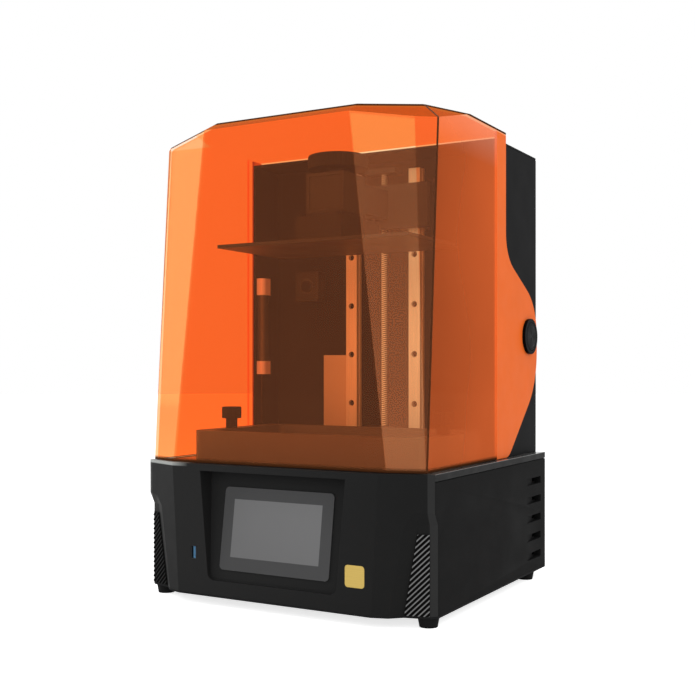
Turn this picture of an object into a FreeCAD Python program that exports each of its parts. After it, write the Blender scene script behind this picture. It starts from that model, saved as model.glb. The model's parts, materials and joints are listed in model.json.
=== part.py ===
import FreeCAD, Part
import math
import os
from FreeCAD import Vector

# Desktop resin printer: a base with a touch screen and the exposure optics, a tower with the
# vertical axis, a resin vat, a build platform and a tinted lid that swings back on side pivots.
# Millimetres, +Z up, front at -Y, origin on the floor under the middle of the base.

# Base casing
base_width = 350.0
base_depth = 338.0
base_height = 139.0
foot_height = 10.0
wall = 3.0
pan_thickness = 2.0
deck_thickness = 7.0
seam_groove = 0.8
panel_tongue = 1.5

# Front corners of the base: chamfer, side strip and the scoop that holds the grille
front_corner_top = 49.4
front_corner_bottom = 58.0
corner_setback = 22.2
strip_width = 7.0
strip_depth = 5.2
scoop_setback = 29.0
scoop_strip_width = 5.5
scoop_strip_depth = 6.0
scoop_floor_top = 100.0
scoop_top = 112.0
scoop_fade = 10.0
bevel_width = 11.0
grille_bottom_width = 25.2
grille_bottom_lean = 6.9
grille_top_width = 11.7
grille_top_lean = 5.1
grille_top = 91.0
grille_plate = 0.8
grille_rib_height = 0.9
grille_rib_width = 1.5
grille_rib_pitch = 3.7
grille_margin = 0.6
grille_lift = 0.1

# Feet
foot_top_radius = 11.0
foot_bottom_radius = 9.0
foot_inset_x = 13.0
foot_inset_y = 35.0

# Touch screen and its recess
screen_width = 134.0
screen_height = 87.3
screen_thickness = 1.5
screen_corner = 5.0
screen_tilt = 8.2
screen_bottom = 38.8
screen_setback = 4.6
recess_width_top = 177.0
recess_width_bottom = 156.0
recess_bottom = 27.6
recess_corner = 8.0
display_width = 120.0
display_height = 75.0
display_thickness = 6.0
fit_gap = 0.3

# Front details
usb_gap = 8.5
usb_z = 55.0
usb_width = 6.6
usb_height = 14.0
usb_depth = 16.0
usb_sheet = 0.5
usb_tongue_thickness = 1.9
badge_inset = 76.0
badge_z = 48.0
badge_size = 22.0
badge_corner = 3.5
badge_thickness = 1.0

# Side louvres
louvre_count = 5
louvre_setback = 64.0
louvre_length = 48.0
louvre_height = 8.0
louvre_depth = 8.0
louvre_slot = 14.0
louvre_first_z = 29.5
louvre_pitch = 21.9
louvre_skin = 1.5

# Exposure unit
exposure_shift = 0.75
lcd_side_margin = 11.0
lcd_end_margin = 4.75
lcd_thickness = 3.0
lcd_ledge = 4.0
hood_wall = 2.0
hood_bottom = 60.0
lens_thickness = 4.0
lens_height = 108.0
led_thickness = 2.0
sink_plate = 8.0
sink_fin = 3.0
sink_fins = 12

# Electronics
board_width = 125.0
board_depth = 80.0
board_thickness = 1.6
board_inset = 75.0
board_setback = 74.0
board_lift = 8.0
standoff_radius = 3.0
supply_width = 110.0
supply_depth = 78.0
supply_height = 42.0
supply_inset = 75.0
supply_setback = 76.0

# Rear panel fittings
fan_inset = 75.0
fan_z = 95.0
fan_size = 60.0
fan_thickness = 25.0
fan_bore = 57.0
fan_hub_radius = 12.0
fan_blades = 7
fan_blade_angle = 40.0
fan_blade_thickness = 1.2
fan_blade_share = 0.9
fan_tip_gap = 1.0
fan_spoke = 3.0
fan_pin_radius = 2.0
running_gap = 0.05
grille_ring = 2.0
grille_rings = 4
inlet_inset = 55.0
inlet_z = 42.0
inlet_width = 27.0
inlet_height = 20.0
inlet_depth = 22.0
inlet_wall = 2.0
inlet_flange = 3.0
inlet_pin_radius = 1.8
inlet_pin_length = 14.0
inlet_pin_spread = 7.0
switch_z = 78.0
switch_width = 21.0
switch_height = 15.0
switch_depth = 12.0
switch_wall = 1.5
rocker_proud = 1.6
rocker_root = 2.0
rocker_dip = 1.2
rocker_tilt = 8.0
rocker_half = 4.6
rocker_reach = 6.4
rocker_pin_radius = 1.5
rear_inset = 3.0

# Vat
vat_inset = 27.0
vat_setback = 62.5
vat_clearance = 3.0
vat_height = 31.0
vat_side = 20.0
vat_lip = 8.0
vat_corner = 12.0
well_corner = 8.0
film_lift = 0.2
film_thickness = 0.4
ring_height = 4.0
ring_width = 5.0
ring_screw_radius = 1.5
ring_screw_length = 9.0
ring_screws_per_side = 4
thumb_inset = 11.0
thumb_offset = 20.0
thumb_head_radius = 11.5
thumb_head_height = 13.4
thumb_neck_radius = 6.8
thumb_neck_height = 11.3
thumb_stem_radius = 3.0

# Tower
tower_depth = 131.0
tower_headroom = 9.0
tower_wall = 3.0
tower_side_gap = 1.3
panel_setback = 79.0
panel_thickness = 3.0

# Vertical axis
rail_x = 43.3
rail_width = 15.0
rail_depth = 12.6
rail_lift = 8.0
rail_headroom = 15.5
rail_groove = 1.2
rail_groove_width = 4.0
rail_hole_first = 207.5
rail_hole_pitch = 60.0
rail_holes = 5
rail_head_radius = 3.7
rail_head_height = 4.4
rail_shank_radius = 2.2
screw_lift = 7.0
screw_radius = 4.0
screw_headroom = 14.5
thread_gap = 0.4
bearing_width = 42.0
bearing_depth = 20.0
lower_bearing_height = 31.0
upper_bearing_bottom = 487.0
upper_bearing_height = 6.0
motor_size = 57.0
motor_height = 56.0
motor_drop = 26.0
motor_shaft_radius = 3.2
coupling_radius = 11.0
coupling_height = 20.0
coupling_gap = 1.0
pillar_radius = 4.0
pillar_inset = 5.0

# Carriage and build platform
carriage_width = 140.0
carriage_bottom = 417.0
carriage_height = 53.0
carriage_thickness = 8.0
block_width = 32.0
block_depth = 20.0
block_roof = 11.0
block_gap = 0.4
nut_width = 28.0
nut_depth = 22.7
nut_bottom = 432.0
nut_height = 33.0
flag_x = 66.0
flag_thickness = 1.0
flag_depth = 12.0
flag_height = 15.0
sensor_arm = 3.0
sensor_slot = 4.0
sensor_height = 14.0
sensor_depth = 14.0
arm_width = 36.0
arm_bottom = 428.0
arm_height = 34.0
clamp_width = 48.0
clamp_offset = 35.0
clamp_depth = 51.0
clamp_bottom = 423.0
clamp_height = 45.0
clamp_panel = 1.0
clamp_frame = 4.0
mount_width = 58.0
mount_offset = 49.0
mount_depth = 88.0
mount_height = 27.5
tilt_plate_width = 46.0
plate_side_gap = 7.0
plate_end_gap = 3.5
plate_thickness = 4.0
plate_bottom = 386.5
knob_offset = 5.0
knob_radius = 34.0
knob_height = 15.5
knob_collar_radius = 14.0
knob_collar_height = 6.2
knob_stud_radius = 5.0
knob_stud_length = 28.0
level_screw_x = 24.0
level_screw_inset = 7.0
level_head_radius = 3.5
level_head_height = 4.0
level_shank_radius = 2.0
level_shank_length = 12.0

# Fittings inside the tower
lamp_setback = 12.0
lamp_bottom = 243.0
lamp_length = 121.0
lamp_width = 14.0
lamp_depth = 9.0
lamp_cap_lower = 16.5
lamp_cap_upper = 21.0
lamp_cap_margin = 2.0
lead_radius = 1.2
camera_inset = 55.3
camera_z = 354.0
camera_width = 34.0
camera_height = 37.0
camera_depth = 18.0
lens_radius = 8.0
lens_length = 4.0
cover_left = -89.0
cover_right = -52.5
cover_bottom = 155.0
cover_top = 267.0
cover_thickness = 3.4

# Lid
lid_inset = 7.4
lid_front_setback = 7.3
lid_gap = 0.4
lid_wall = 3.0
lid_roof = 515.5
lid_corner_bottom = 37.6
lid_corner_top = 78.7
front_edge_drop = 11.6
lid_side_setback_bottom = 13.1
lid_side_setback_top = 38.6
lid_side_top = 496.4
lid_crease_inset = 17.2
lid_crease_top = 495.5
roof_front_inset = 80.9
roof_front_setback = 20.9
roof_corner_inset = 23.9
roof_corner_setback = 55.7
roof_side_setback = 117.1
roof_rear_setback = 111.2

# Lid arms and their pivots
arm_front_setback = 138.5
arm_edge_setback = 110.5
arm_foot_setback = 101.6
arm_foot_radius = 25.0
lobe_setback = 8.0
lobe_low = 233.0
lobe_low_radius = 85.0
lobe_high = 325.5
lobe_high_radius = 60.0
arm_neck = 377.0
arm_neck_radius = 42.0
pivot_setback = 37.9
pivot_z = 288.1
pin_radius = 8.0
hub_radius = 21.0
hub_thickness = 3.5
hub_gap = 0.3
washer_radius = 16.0
washer_thickness = 1.0
nut_radius = 13.0
nut_thickness = 6.0

# Places that follow from the sizes above
half = base_width / 2
front = -base_depth / 2
rear = base_depth / 2
pan_top = foot_height + pan_thickness
deck_top = foot_height + base_height
deck_bottom = deck_top - deck_thickness
deck_front = front + corner_setback
rear_face = rear - rear_inset
rear_inner = rear_face - wall
lid_half = half - lid_inset
lid_inner = lid_half - lid_wall
lid_front = front + lid_front_setback
lid_bottom = deck_top + lid_gap
tower_half = lid_inner - tower_side_gap
tower_inner = tower_half - tower_wall
lid_front_top = lid_roof - front_edge_drop
tower_top = lid_roof - tower_headroom
rail_top = tower_top - rail_headroom
screw_top = tower_top - screw_headroom
tower_front = rear - tower_depth
panel_front = rear - panel_setback
screw_y = panel_front - screw_lift
rail_front = panel_front - rail_depth
block_front = rail_front - block_gap - block_roof
carriage_front = block_front - carriage_thickness
vat_half = half - vat_inset
vat_front = front + vat_setback
vat_rear = carriage_front - vat_clearance
vat_rim = deck_top + vat_height
well_half = vat_half - vat_side
well_front = vat_front + vat_lip
well_rear = vat_rear - vat_lip
film_bottom = deck_top + film_lift
ring_bottom = film_bottom + film_thickness
ring_top = ring_bottom + ring_height
motor_top = deck_bottom - motor_drop
carriage_top = carriage_bottom + carriage_height
exposure_y = (well_front + well_rear) / 2 + exposure_shift
lcd_half_x = well_half - lcd_side_margin
lcd_half_y = (well_rear - well_front) / 2 - lcd_end_margin
plate_half = well_half - plate_side_gap
plate_front = well_front + plate_end_gap
plate_rear = well_rear - plate_end_gap
plate_top = plate_bottom + plate_thickness
mount_front = exposure_y - mount_offset
clamp_front = exposure_y - clamp_offset
knob_y = exposure_y - knob_offset
thumb_x = vat_half - thumb_inset
thumb_y = exposure_y - thumb_offset
mount_top = plate_top + mount_height
clamp_top = clamp_bottom + clamp_height
clamp_rear = clamp_front + clamp_depth
hood_half_x = lcd_half_x - lcd_ledge
hood_half_y = lcd_half_y - lcd_ledge
usb_x = -recess_width_top / 2 - usb_gap
badge_x = half - badge_inset
louvre_front = rear - louvre_setback
board_x = board_inset - half
board_y = rear - board_setback
supply_x = half - supply_inset
supply_y = rear - supply_setback
fan_x = fan_inset - half
inlet_x = half - inlet_inset
lamp_y = tower_front + lamp_setback
camera_x = camera_inset - tower_inner
roof_rear = rear - roof_rear_setback
arm_front = rear - arm_front_setback
arm_edge = rear - arm_edge_setback
arm_foot = rear - arm_foot_setback
lobe_rear = rear - lobe_setback
pivot_y = rear - pivot_setback
big = 1000.0


def box(x0, x1, y0, y1, z0, z1):
    """Block between two corners."""
    return Part.makeBox(x1 - x0, y1 - y0, z1 - z0, Vector(x0, y0, z0))


def post(radius, x, y, z0, z1):
    """Upright cylinder."""
    return Part.makeCylinder(radius, z1 - z0, Vector(x, y, z0), Vector(0, 0, 1))


def rod_x(radius, x0, x1, y, z):
    """Cylinder along X."""
    return Part.makeCylinder(radius, x1 - x0, Vector(x0, y, z), Vector(1, 0, 0))


def rod_y(radius, x, y0, y1, z):
    """Cylinder along Y."""
    return Part.makeCylinder(radius, y1 - y0, Vector(x, y0, z), Vector(0, 1, 0))


def on_xy(height):
    """Place a flat (u, v) outline at a height."""
    return lambda u, v: Vector(u, v, height)


def on_xz(y):
    """Place a flat (u, v) outline facing the front."""
    return lambda u, v: Vector(u, y, v)


def on_yz(x):
    """Place a flat (u, v) outline facing the side."""
    return lambda u, v: Vector(x, u, v)


def outline(points, place):
    """Closed face of straight edges, with an arc at each corner that gives a radius."""
    ends = []
    for index, point in enumerate(points):
        corner = Vector(point[0], point[1], 0)
        radius = point[2] if len(point) > 2 else 0
        back = points[index - 1]
        ahead = points[(index + 1) % len(points)]
        to_back = (Vector(back[0], back[1], 0) - corner).normalize()
        to_ahead = (Vector(ahead[0], ahead[1], 0) - corner).normalize()
        if radius == 0:
            ends.append((corner, None, corner))
            continue
        middle = (to_back + to_ahead).normalize()
        half_angle = to_back.getAngle(to_ahead) / 2
        reach = radius / math.tan(half_angle)
        depth = radius / math.sin(half_angle) - radius
        ends.append((corner + to_back * reach, corner + middle * depth, corner + to_ahead * reach))
    edges = []
    for index, (start, bend, stop) in enumerate(ends):
        if bend is not None:
            arc = Part.Arc(place(start.x, start.y), place(bend.x, bend.y), place(stop.x, stop.y))
            edges.append(arc.toShape())
        following = ends[(index + 1) % len(ends)][0]
        if (following - stop).Length > 1e-6:
            edges.append(Part.makeLine(place(stop.x, stop.y), place(following.x, following.y)))
    return Part.Face(Part.Wire(edges))


def plate_z(points, z0, z1):
    """Outline in plan, pulled up from z0 to z1."""
    return outline(points, on_xy(z0)).extrude(Vector(0, 0, z1 - z0))


def plate_y(points, y0, y1):
    """Outline seen from the front, pulled back from y0 to y1."""
    return outline(points, on_xz(y0)).extrude(Vector(0, y1 - y0, 0))


def plate_x(points, x0, x1):
    """Outline seen from the side, pulled across from x0 to x1."""
    return outline(points, on_yz(x0)).extrude(Vector(x1 - x0, 0, 0))


def rectangle(u0, u1, v0, v1, radius=0):
    """Corner list of a rectangle with one corner radius."""
    return [(u0, v0, radius), (u1, v0, radius), (u1, v1, radius), (u0, v1, radius)]


def mirrored(shape):
    """The same piece on the other side of the middle."""
    return shape.mirror(Vector(0, 0, 0), Vector(1, 0, 0))


def pair(shape):
    """A right piece and its left twin as two solids."""
    return Part.makeCompound([shape, mirrored(shape)])


def joined(shapes):
    """One solid from several that overlap or touch."""
    return shapes[0].fuse(shapes[1:]).removeSplitter()


def save(name, shape):
    """Write one piece to its own file."""
    shape.exportStep("parts/" + name + ".step")


def between(low, high, share):
    """Value part of the way from low to high."""
    return low + (high - low) * share


def front_half(z):
    """Half the width of the flat front face at a height."""
    share = (z - foot_height) / base_height
    return half - between(front_corner_bottom, front_corner_top, share)


def facet_y(x, z):
    """Depth of the chamfer facet at x, on the line from the front face to the side strip."""
    strip_x = half - strip_width
    run = (x - front_half(z)) / (strip_x - front_half(z))
    return front + run * (corner_setback - strip_depth)


def corner_points(z):
    """Right front corner of the base: front edge, bevel edge, grille edge, strip edge, side edge."""
    if z > scoop_floor_top:
        strip = (half - strip_width, front + corner_setback - strip_depth)
        side = (half, front + corner_setback)
        inner = (strip[0] - scoop_fade / 2, facet_y(strip[0] - scoop_fade / 2, z))
        edge = (strip[0] - scoop_fade, facet_y(strip[0] - scoop_fade, z))
        return [(front_half(z), front), edge, inner, strip, side]
    share = (z - foot_height) / (grille_top - foot_height)
    strip = (half - scoop_strip_width, front + scoop_setback - scoop_strip_depth)
    side = (half, front + scoop_setback)
    inner_x = strip[0] - between(grille_bottom_width, grille_top_width, share)
    inner_y = strip[1] - between(grille_bottom_lean, grille_top_lean, share)
    edge = (inner_x - bevel_width, facet_y(inner_x - bevel_width, z))
    return [(front_half(z), front), edge, (inner_x, inner_y), strip, side]


def base_outline(z, back):
    """Whole plan outline of the base at a height, closed at the given depth."""
    right = corner_points(z) + [(half, back)]
    left = [(-x, y) for x, y in reversed(right)]
    return right + left


def inset_outline(points, distance):
    """Plan outline moved inwards by a distance."""
    moved = []
    count = len(points)
    for index, (x, y) in enumerate(points):
        back = points[index - 1]
        ahead = points[(index + 1) % count]
        before = Vector(back[1] - y, x - back[0], 0).normalize()
        after = Vector(y - ahead[1], ahead[0] - x, 0).normalize()
        shift = (before + after) * (distance / (1 + before.dot(after)))
        moved.append((x + shift.x, y + shift.y))
    return moved


def stacked(levels):
    """Solid with straight faces through plan outlines at rising heights."""
    wires = []
    for z, points in levels:
        corners = [Vector(x, y, z) for x, y in points]
        wires.append(Part.makePolygon(corners + corners[:1]))
    return Part.makeLoft(wires, True, True)


def front_zone(z0, z1):
    """Everything in front of the line where the bezel meets the side panels."""
    low = front + scoop_setback
    high = deck_front
    points = [(-big, z0), (low, z0), (low, scoop_floor_top), (high, scoop_top), (high, z1), (-big, z1)]
    return plate_x(points, -big, big)


def screen_point(up, out):
    """Point on the tilted screen axis: up along the glass and out from its front."""
    angle = math.radians(screen_tilt)
    y = front + screen_setback + up * math.sin(angle) - out * math.cos(angle)
    z = screen_bottom + up * math.cos(angle) + out * math.sin(angle)
    return y, z


def on_screen(out):
    """Place a flat (u, v) outline parallel to the screen."""
    return lambda u, v: Vector(u, *screen_point(v, out))


def screen_block(points, out0, out1):
    """Outline on the screen plane, pulled along the screen's normal."""
    start = Vector(0, *screen_point(0, out0))
    stop = Vector(0, *screen_point(0, out1))
    return outline(points, on_screen(out0)).extrude(stop - start)


def make_bottom_pan():
    """Sheet pan that closes the base from below and carries the feet."""
    levels = [(z, base_outline(z, rear)) for z in (foot_height, pan_top)]
    return stacked(levels)


def make_feet():
    """Four tapered rubber feet."""
    feet = []
    for x in (-half + foot_inset_x, half - foot_inset_x):
        for y in (front + foot_inset_y, rear - foot_inset_y):
            feet.append(Part.makeCone(foot_bottom_radius, foot_top_radius, foot_height, Vector(x, y, 0)))
    return Part.makeCompound(feet)


def recess_points(margin):
    """Outline of the screen recess seen from the front, grown by a margin."""
    low = recess_width_bottom / 2 + margin
    high = recess_width_top / 2 + margin
    radius = recess_corner + margin
    floor = recess_bottom - margin
    return [(-low, floor, radius), (low, floor, radius), (high, deck_bottom), (-high, deck_bottom)]


def screen_slab(out0, out1):
    """Everything between two planes parallel to the screen."""
    return screen_block(rectangle(-big, big, -big, big), out0, out1)


def display_points(gap):
    """Outline of the display module on the screen plane."""
    low = (screen_height - display_height) / 2
    wide = display_width / 2 + gap
    return rectangle(-wide, wide, low - gap, low + display_height + gap)


def usb_points(gap):
    """Outline of the data socket seen from the front."""
    wide = usb_width / 2 + gap
    tall = usb_height / 2 + gap
    return rectangle(usb_x - wide, usb_x + wide, usb_z - tall, usb_z + tall)


def badge_points():
    """Outline of the plain badge."""
    reach = badge_size / 2
    return rectangle(badge_x - reach, badge_x + reach, badge_z - reach, badge_z + reach, badge_corner)


def make_front_bezel():
    """Moulded front with chamfered, scooped corners and the tilted screen recess."""
    heights = (pan_top, grille_top, scoop_floor_top, scoop_top)
    outer = stacked([(z, base_outline(z, 0)) for z in heights + (deck_top,)])
    inner_levels = [(z, inset_outline(base_outline(z, wall), wall)) for z in heights + (deck_bottom,)]
    shell = outer.cut(stacked(inner_levels))
    tray = plate_y(recess_points(wall), front, 0)
    tray = tray.common(screen_slab(-screen_thickness - wall, big)).common(outer)
    pocket = plate_y(recess_points(0), front - wall, 0).common(screen_slab(-screen_thickness, big))
    floor = screen_thickness + wall
    window = screen_block(display_points(fit_gap), -2 * floor, 0)
    socket = plate_y(usb_points(fit_gap), front - wall, front + 2 * wall)
    badge_seat = plate_y(badge_points(), front - wall, front + badge_thickness)
    body = joined([shell, tray]).cut([pocket, window, socket, badge_seat])
    return body.common(front_zone(pan_top, deck_top))


def grille_slice(z, thickness):
    """Plan slice of the right grille on its scoop at a height."""
    points = corner_points(z)
    inner = Vector(points[2][0], points[2][1], 0)
    strip = Vector(points[3][0], points[3][1], 0)
    along = (strip - inner).normalize()
    outward = Vector(along.y, -along.x, 0)
    inner = inner + along * grille_margin + outward * grille_lift
    strip = strip - along * grille_margin + outward * grille_lift
    out = outward * thickness
    return [(p.x, p.y) for p in (inner, inner + out, strip + out, strip)]


def grille_body(thickness):
    """Right grille as a plate of one thickness on the scoop."""
    bottom = pan_top + grille_margin
    return stacked([(z, grille_slice(z, thickness)) for z in (bottom, grille_top)])


def grille_bars(x0):
    """Slanted bars that rise to the right, over the whole grille."""
    run = grille_bottom_width + bevel_width
    step = grille_rib_pitch * math.sqrt(2)
    tall = grille_rib_width * math.sqrt(2)
    bars = []
    for index in range(int((grille_top + run) / step) + 1):
        z = pan_top - run + index * step
        points = [(x0, z), (x0 + run, z + run), (x0 + run, z + run + tall), (x0, z + tall)]
        bars.append(plate_y(points, front, front + 2 * scoop_setback))
    return Part.makeCompound(bars)


def make_corner_grille(right):
    """Black insert in the scoop, with slanted ribs on a thin plate."""
    plate = grille_body(grille_plate)
    raised = grille_body(grille_plate + grille_rib_height)
    x0 = half - scoop_strip_width - grille_bottom_width
    if not right:
        plate = mirrored(plate)
        raised = mirrored(raised)
        x0 = -half + scoop_strip_width - bevel_width
    ribs = raised.common(grille_bars(x0))
    return joined([plate] + ribs.Solids)


def make_touch_panel():
    """Cover glass of the touch screen."""
    wide = screen_width / 2
    return screen_block(rectangle(-wide, wide, 0, screen_height, screen_corner), -screen_thickness, 0)


def make_display_module():
    """Display behind the cover glass, through the recess floor."""
    return screen_block(display_points(0), -screen_thickness - display_thickness, -screen_thickness)


def make_usb_port():
    """Sheet shell of the data socket, open to the front."""
    shell = plate_y(usb_points(0), front, front + usb_depth)
    return shell.cut(plate_y(usb_points(-usb_sheet), front - wall, front + usb_depth - usb_sheet))


def make_usb_tongue():
    """Contact tongue inside the data socket."""
    wide = usb_tongue_thickness / 2
    tall = usb_height / 2 - 2 * usb_sheet
    right = usb_x + usb_width / 2 - usb_sheet
    back = front + usb_depth - usb_sheet
    return box(right - 2 * wide, right, front + wall, back, usb_z - tall, usb_z + tall)


def make_badge():
    """Plain badge set flush in the front."""
    return plate_y(badge_points(), front, front + badge_thickness)


def make_side_panel():
    """Right side panel with a seam groove under the deck and five recessed louvres."""
    panel = box(half - wall, half, front, rear, pan_top, deck_bottom)
    back = louvre_front + louvre_length
    trays = []
    cuts = [front_zone(0, big)]
    lip = half - wall + panel_tongue
    cuts.append(box(lip, half + wall, front, rear + wall, deck_bottom - seam_groove, deck_top))
    for index in range(louvre_count):
        z = louvre_first_z + index * louvre_pitch
        low = z - louvre_height / 2
        high = z + louvre_height / 2
        deep = half - louvre_depth - louvre_skin
        root = half - wall / 2
        tray = [(root, louvre_front), (root, back + louvre_skin), (deep, back + louvre_skin)]
        trays.append(plate_z(tray, low - louvre_skin, high + louvre_skin))
        cuts.append(plate_z([(half, louvre_front), (half, back), (half - louvre_depth, back)], low, high))
        inside = deep - louvre_depth
        cuts.append(box(inside, half - wall, back - louvre_slot, back, low + louvre_skin, high - louvre_skin))
    return joined([panel] + trays).cut(cuts)


def make_top_deck():
    """Deck plate with the exposure window and the holes of the axis, vat and tower."""
    deck = box(-half, half, deck_front, rear, deck_bottom, deck_top)
    wide = lcd_half_x + fit_gap
    long = lcd_half_y + fit_gap
    seat = box(-wide, wide, exposure_y - long, exposure_y + long, deck_top - lcd_thickness, deck_top + wall)
    window = box(-hood_half_x, hood_half_x, exposure_y - hood_half_y, exposure_y + hood_half_y, 0, big)
    cuts = [seat, window, post(coupling_radius + coupling_gap, 0, screw_y, 0, big)]
    for x in (-thumb_x, thumb_x):
        cuts.append(post(thumb_stem_radius + running_gap, x, thumb_y, 0, big))
    return deck.cut(cuts)


def make_mask_lcd():
    """Exposure display, flush in the deck."""
    low = exposure_y - lcd_half_y
    high = exposure_y + lcd_half_y
    return box(-lcd_half_x, lcd_half_x, low, high, deck_top - lcd_thickness, deck_top)


def hood_block(margin, z0, z1):
    """Block over the exposure window, grown by a margin."""
    wide = hood_half_x + margin
    long = hood_half_y + margin
    return box(-wide, wide, exposure_y - long, exposure_y + long, z0, z1)


def make_light_hood():
    """Shroud between the light source and the deck."""
    return hood_block(hood_wall, hood_bottom, deck_bottom).cut(hood_block(0, 0, big))


def make_lens_array():
    """Lens plate held in the shroud."""
    return hood_block(0, lens_height, lens_height + lens_thickness)


def make_led_board():
    """Board of the light source under the shroud."""
    return hood_block(hood_wall, hood_bottom - led_thickness, hood_bottom)


def make_heat_sink():
    """Finned cooler under the light board, standing on the pan."""
    top = hood_bottom - led_thickness
    parts = [hood_block(0, top - sink_plate, top)]
    pitch = (2 * hood_half_x - sink_fin) / (sink_fins - 1)
    for index in range(sink_fins):
        x = -hood_half_x + index * pitch
        y0 = exposure_y - hood_half_y
        parts.append(box(x, x + sink_fin, y0, y0 + 2 * hood_half_y, pan_top, top - sink_plate))
    return joined(parts)


def board_corner(sign_x, sign_y):
    """Place of a stand-off under the main board."""
    inset = 2 * standoff_radius
    x = board_x + sign_x * (board_width / 2 - inset)
    y = board_y + sign_y * (board_depth / 2 - inset)
    return x, y


def make_main_board():
    """Control board on its stand-offs."""
    low = pan_top + board_lift
    x0 = board_x - board_width / 2
    y0 = board_y - board_depth / 2
    return box(x0, x0 + board_width, y0, y0 + board_depth, low, low + board_thickness)


def make_board_standoffs():
    """Four posts under the control board."""
    posts = []
    for sign_x in (-1, 1):
        for sign_y in (-1, 1):
            x, y = board_corner(sign_x, sign_y)
            posts.append(post(standoff_radius, x, y, pan_top, pan_top + board_lift))
    return Part.makeCompound(posts)


def make_power_supply():
    """Closed supply box on the pan."""
    x0 = supply_x - supply_width / 2
    y0 = supply_y - supply_depth / 2
    return box(x0, x0 + supply_width, y0, y0 + supply_depth, pan_top, pan_top + supply_height)


def inlet_points(gap):
    """Outline of the mains inlet seen from behind."""
    wide = inlet_width / 2 + gap
    tall = inlet_height / 2 + gap
    return rectangle(inlet_x - wide, inlet_x + wide, inlet_z - tall, inlet_z + tall)


def switch_points(gap):
    """Outline of the power switch seen from behind."""
    wide = switch_width / 2 + gap
    tall = switch_height / 2 + gap
    return rectangle(inlet_x - wide, inlet_x + wide, switch_z - tall, switch_z + tall)


def make_rear_panel():
    """Rear panel with a ringed fan grille and cut-outs for the inlet and switch."""
    side = half - wall
    panel = box(-side, side, rear_inner, rear_face, pan_top, deck_bottom)
    hole = rod_y(fan_bore / 2, fan_x, rear_inner - wall, rear, fan_z)
    pitch = fan_bore / 2 / (grille_rings + 0.5)
    bars = [rod_y(pitch / 2, fan_x, rear_inner, rear_face, fan_z)]
    for index in range(1, grille_rings + 1):
        ring = rod_y(index * pitch + grille_ring / 2, fan_x, rear_inner, rear_face, fan_z)
        bars.append(ring.cut(rod_y(index * pitch - grille_ring / 2, fan_x, rear_inner, rear_face, fan_z)))
    reach = fan_bore / 2
    bar = grille_ring / 2
    bars.append(box(fan_x - reach, fan_x + reach, rear_inner, rear_face, fan_z - bar, fan_z + bar))
    bars.append(box(fan_x - bar, fan_x + bar, rear_inner, rear_face, fan_z - reach, fan_z + reach))
    cuts = [hole.cut(bars)]
    cuts.append(plate_y(inlet_points(0), rear_inner - wall, rear))
    cuts.append(plate_y(switch_points(0), rear_inner - wall, rear))
    return panel.cut(cuts)


def make_fan_frame():
    """Square fan frame behind the grille, with spokes that carry the rotor's pin."""
    reach = fan_size / 2
    y0 = rear_inner - fan_thickness
    frame = box(fan_x - reach, fan_x + reach, y0, rear_inner, fan_z - reach, fan_z + reach)
    frame = frame.cut(rod_y(fan_bore / 2, fan_x, y0 - wall, rear, fan_z))
    hub = rod_y(fan_hub_radius, fan_x, y0, y0 + fan_spoke, fan_z)
    pin = rod_y(fan_pin_radius, fan_x, y0, rear_inner - 2 * fan_spoke, fan_z)
    spoke = fan_spoke / 2
    across = box(fan_x - reach, fan_x + reach, y0, y0 + fan_spoke, fan_z - spoke, fan_z + spoke)
    upright = box(fan_x - spoke, fan_x + spoke, y0, y0 + fan_spoke, fan_z - reach, fan_z + reach)
    return joined([frame, hub, pin, across, upright])


def make_fan_rotor():
    """Fan wheel with pitched blades, running on the frame's pin."""
    y0 = rear_inner - fan_thickness + fan_spoke + fan_tip_gap
    y1 = rear_inner - fan_spoke
    hub = rod_y(fan_hub_radius, fan_x, y0, y1, fan_z)
    tip = fan_bore / 2 - fan_tip_gap
    middle = (y0 + y1) / 2
    chord = (y1 - y0) * fan_blade_share
    thin = fan_blade_thickness
    parts = [hub]
    for index in range(fan_blades):
        blade = Part.makeBox(thin, chord, fan_bore / 2, Vector(-thin / 2, -chord / 2, 0))
        blade.rotate(Vector(0, 0, 0), Vector(0, 0, 1), fan_blade_angle)
        blade.rotate(Vector(0, 0, 0), Vector(0, 1, 0), 360.0 * index / fan_blades)
        blade.translate(Vector(fan_x, middle, fan_z))
        parts.append(blade)
    sweep = rod_y(tip, fan_x, y0, y1, fan_z)
    wheel = joined(parts).common(sweep)
    return wheel.cut(rod_y(fan_pin_radius + running_gap, fan_x, y0 - wall, y1 - fan_spoke + fit_gap, fan_z))


def make_power_inlet():
    """Mains inlet with a socket that opens to the rear."""
    body = plate_y(inlet_points(0), rear_face - inlet_depth, rear_face)
    flange = plate_y(inlet_points(inlet_flange), rear_face, rear_face + inlet_wall)
    socket = plate_y(inlet_points(-inlet_wall), rear_face - inlet_depth + inlet_wall, rear + wall)
    return joined([body, flange]).cut(socket)


def make_inlet_pins():
    """Three contact pins in the inlet."""
    y0 = rear_face - inlet_depth + inlet_wall
    pins = []
    for step in (-1, 0, 1):
        x = inlet_x + step * inlet_pin_spread
        z = inlet_z + (inlet_pin_radius if step == 0 else -inlet_pin_radius)
        pins.append(rod_y(inlet_pin_radius, x, y0, y0 + inlet_pin_length, z))
    return Part.makeCompound(pins)


def make_switch_frame():
    """Frame of the power switch, open to the rear."""
    body = plate_y(switch_points(0), rear_face - switch_depth, rear_face)
    flange = plate_y(switch_points(switch_wall), rear_face, rear_face + switch_wall / 2)
    cavity = plate_y(switch_points(-switch_wall), rear_face - switch_depth + switch_wall, rear + wall)
    wide = switch_width / 2
    y = rear_face - rocker_reach + rocker_proud
    holes = rod_x(rocker_pin_radius + running_gap, inlet_x - wide, inlet_x + wide, y, switch_z)
    return joined([body, flange]).cut([cavity, holes])


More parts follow.
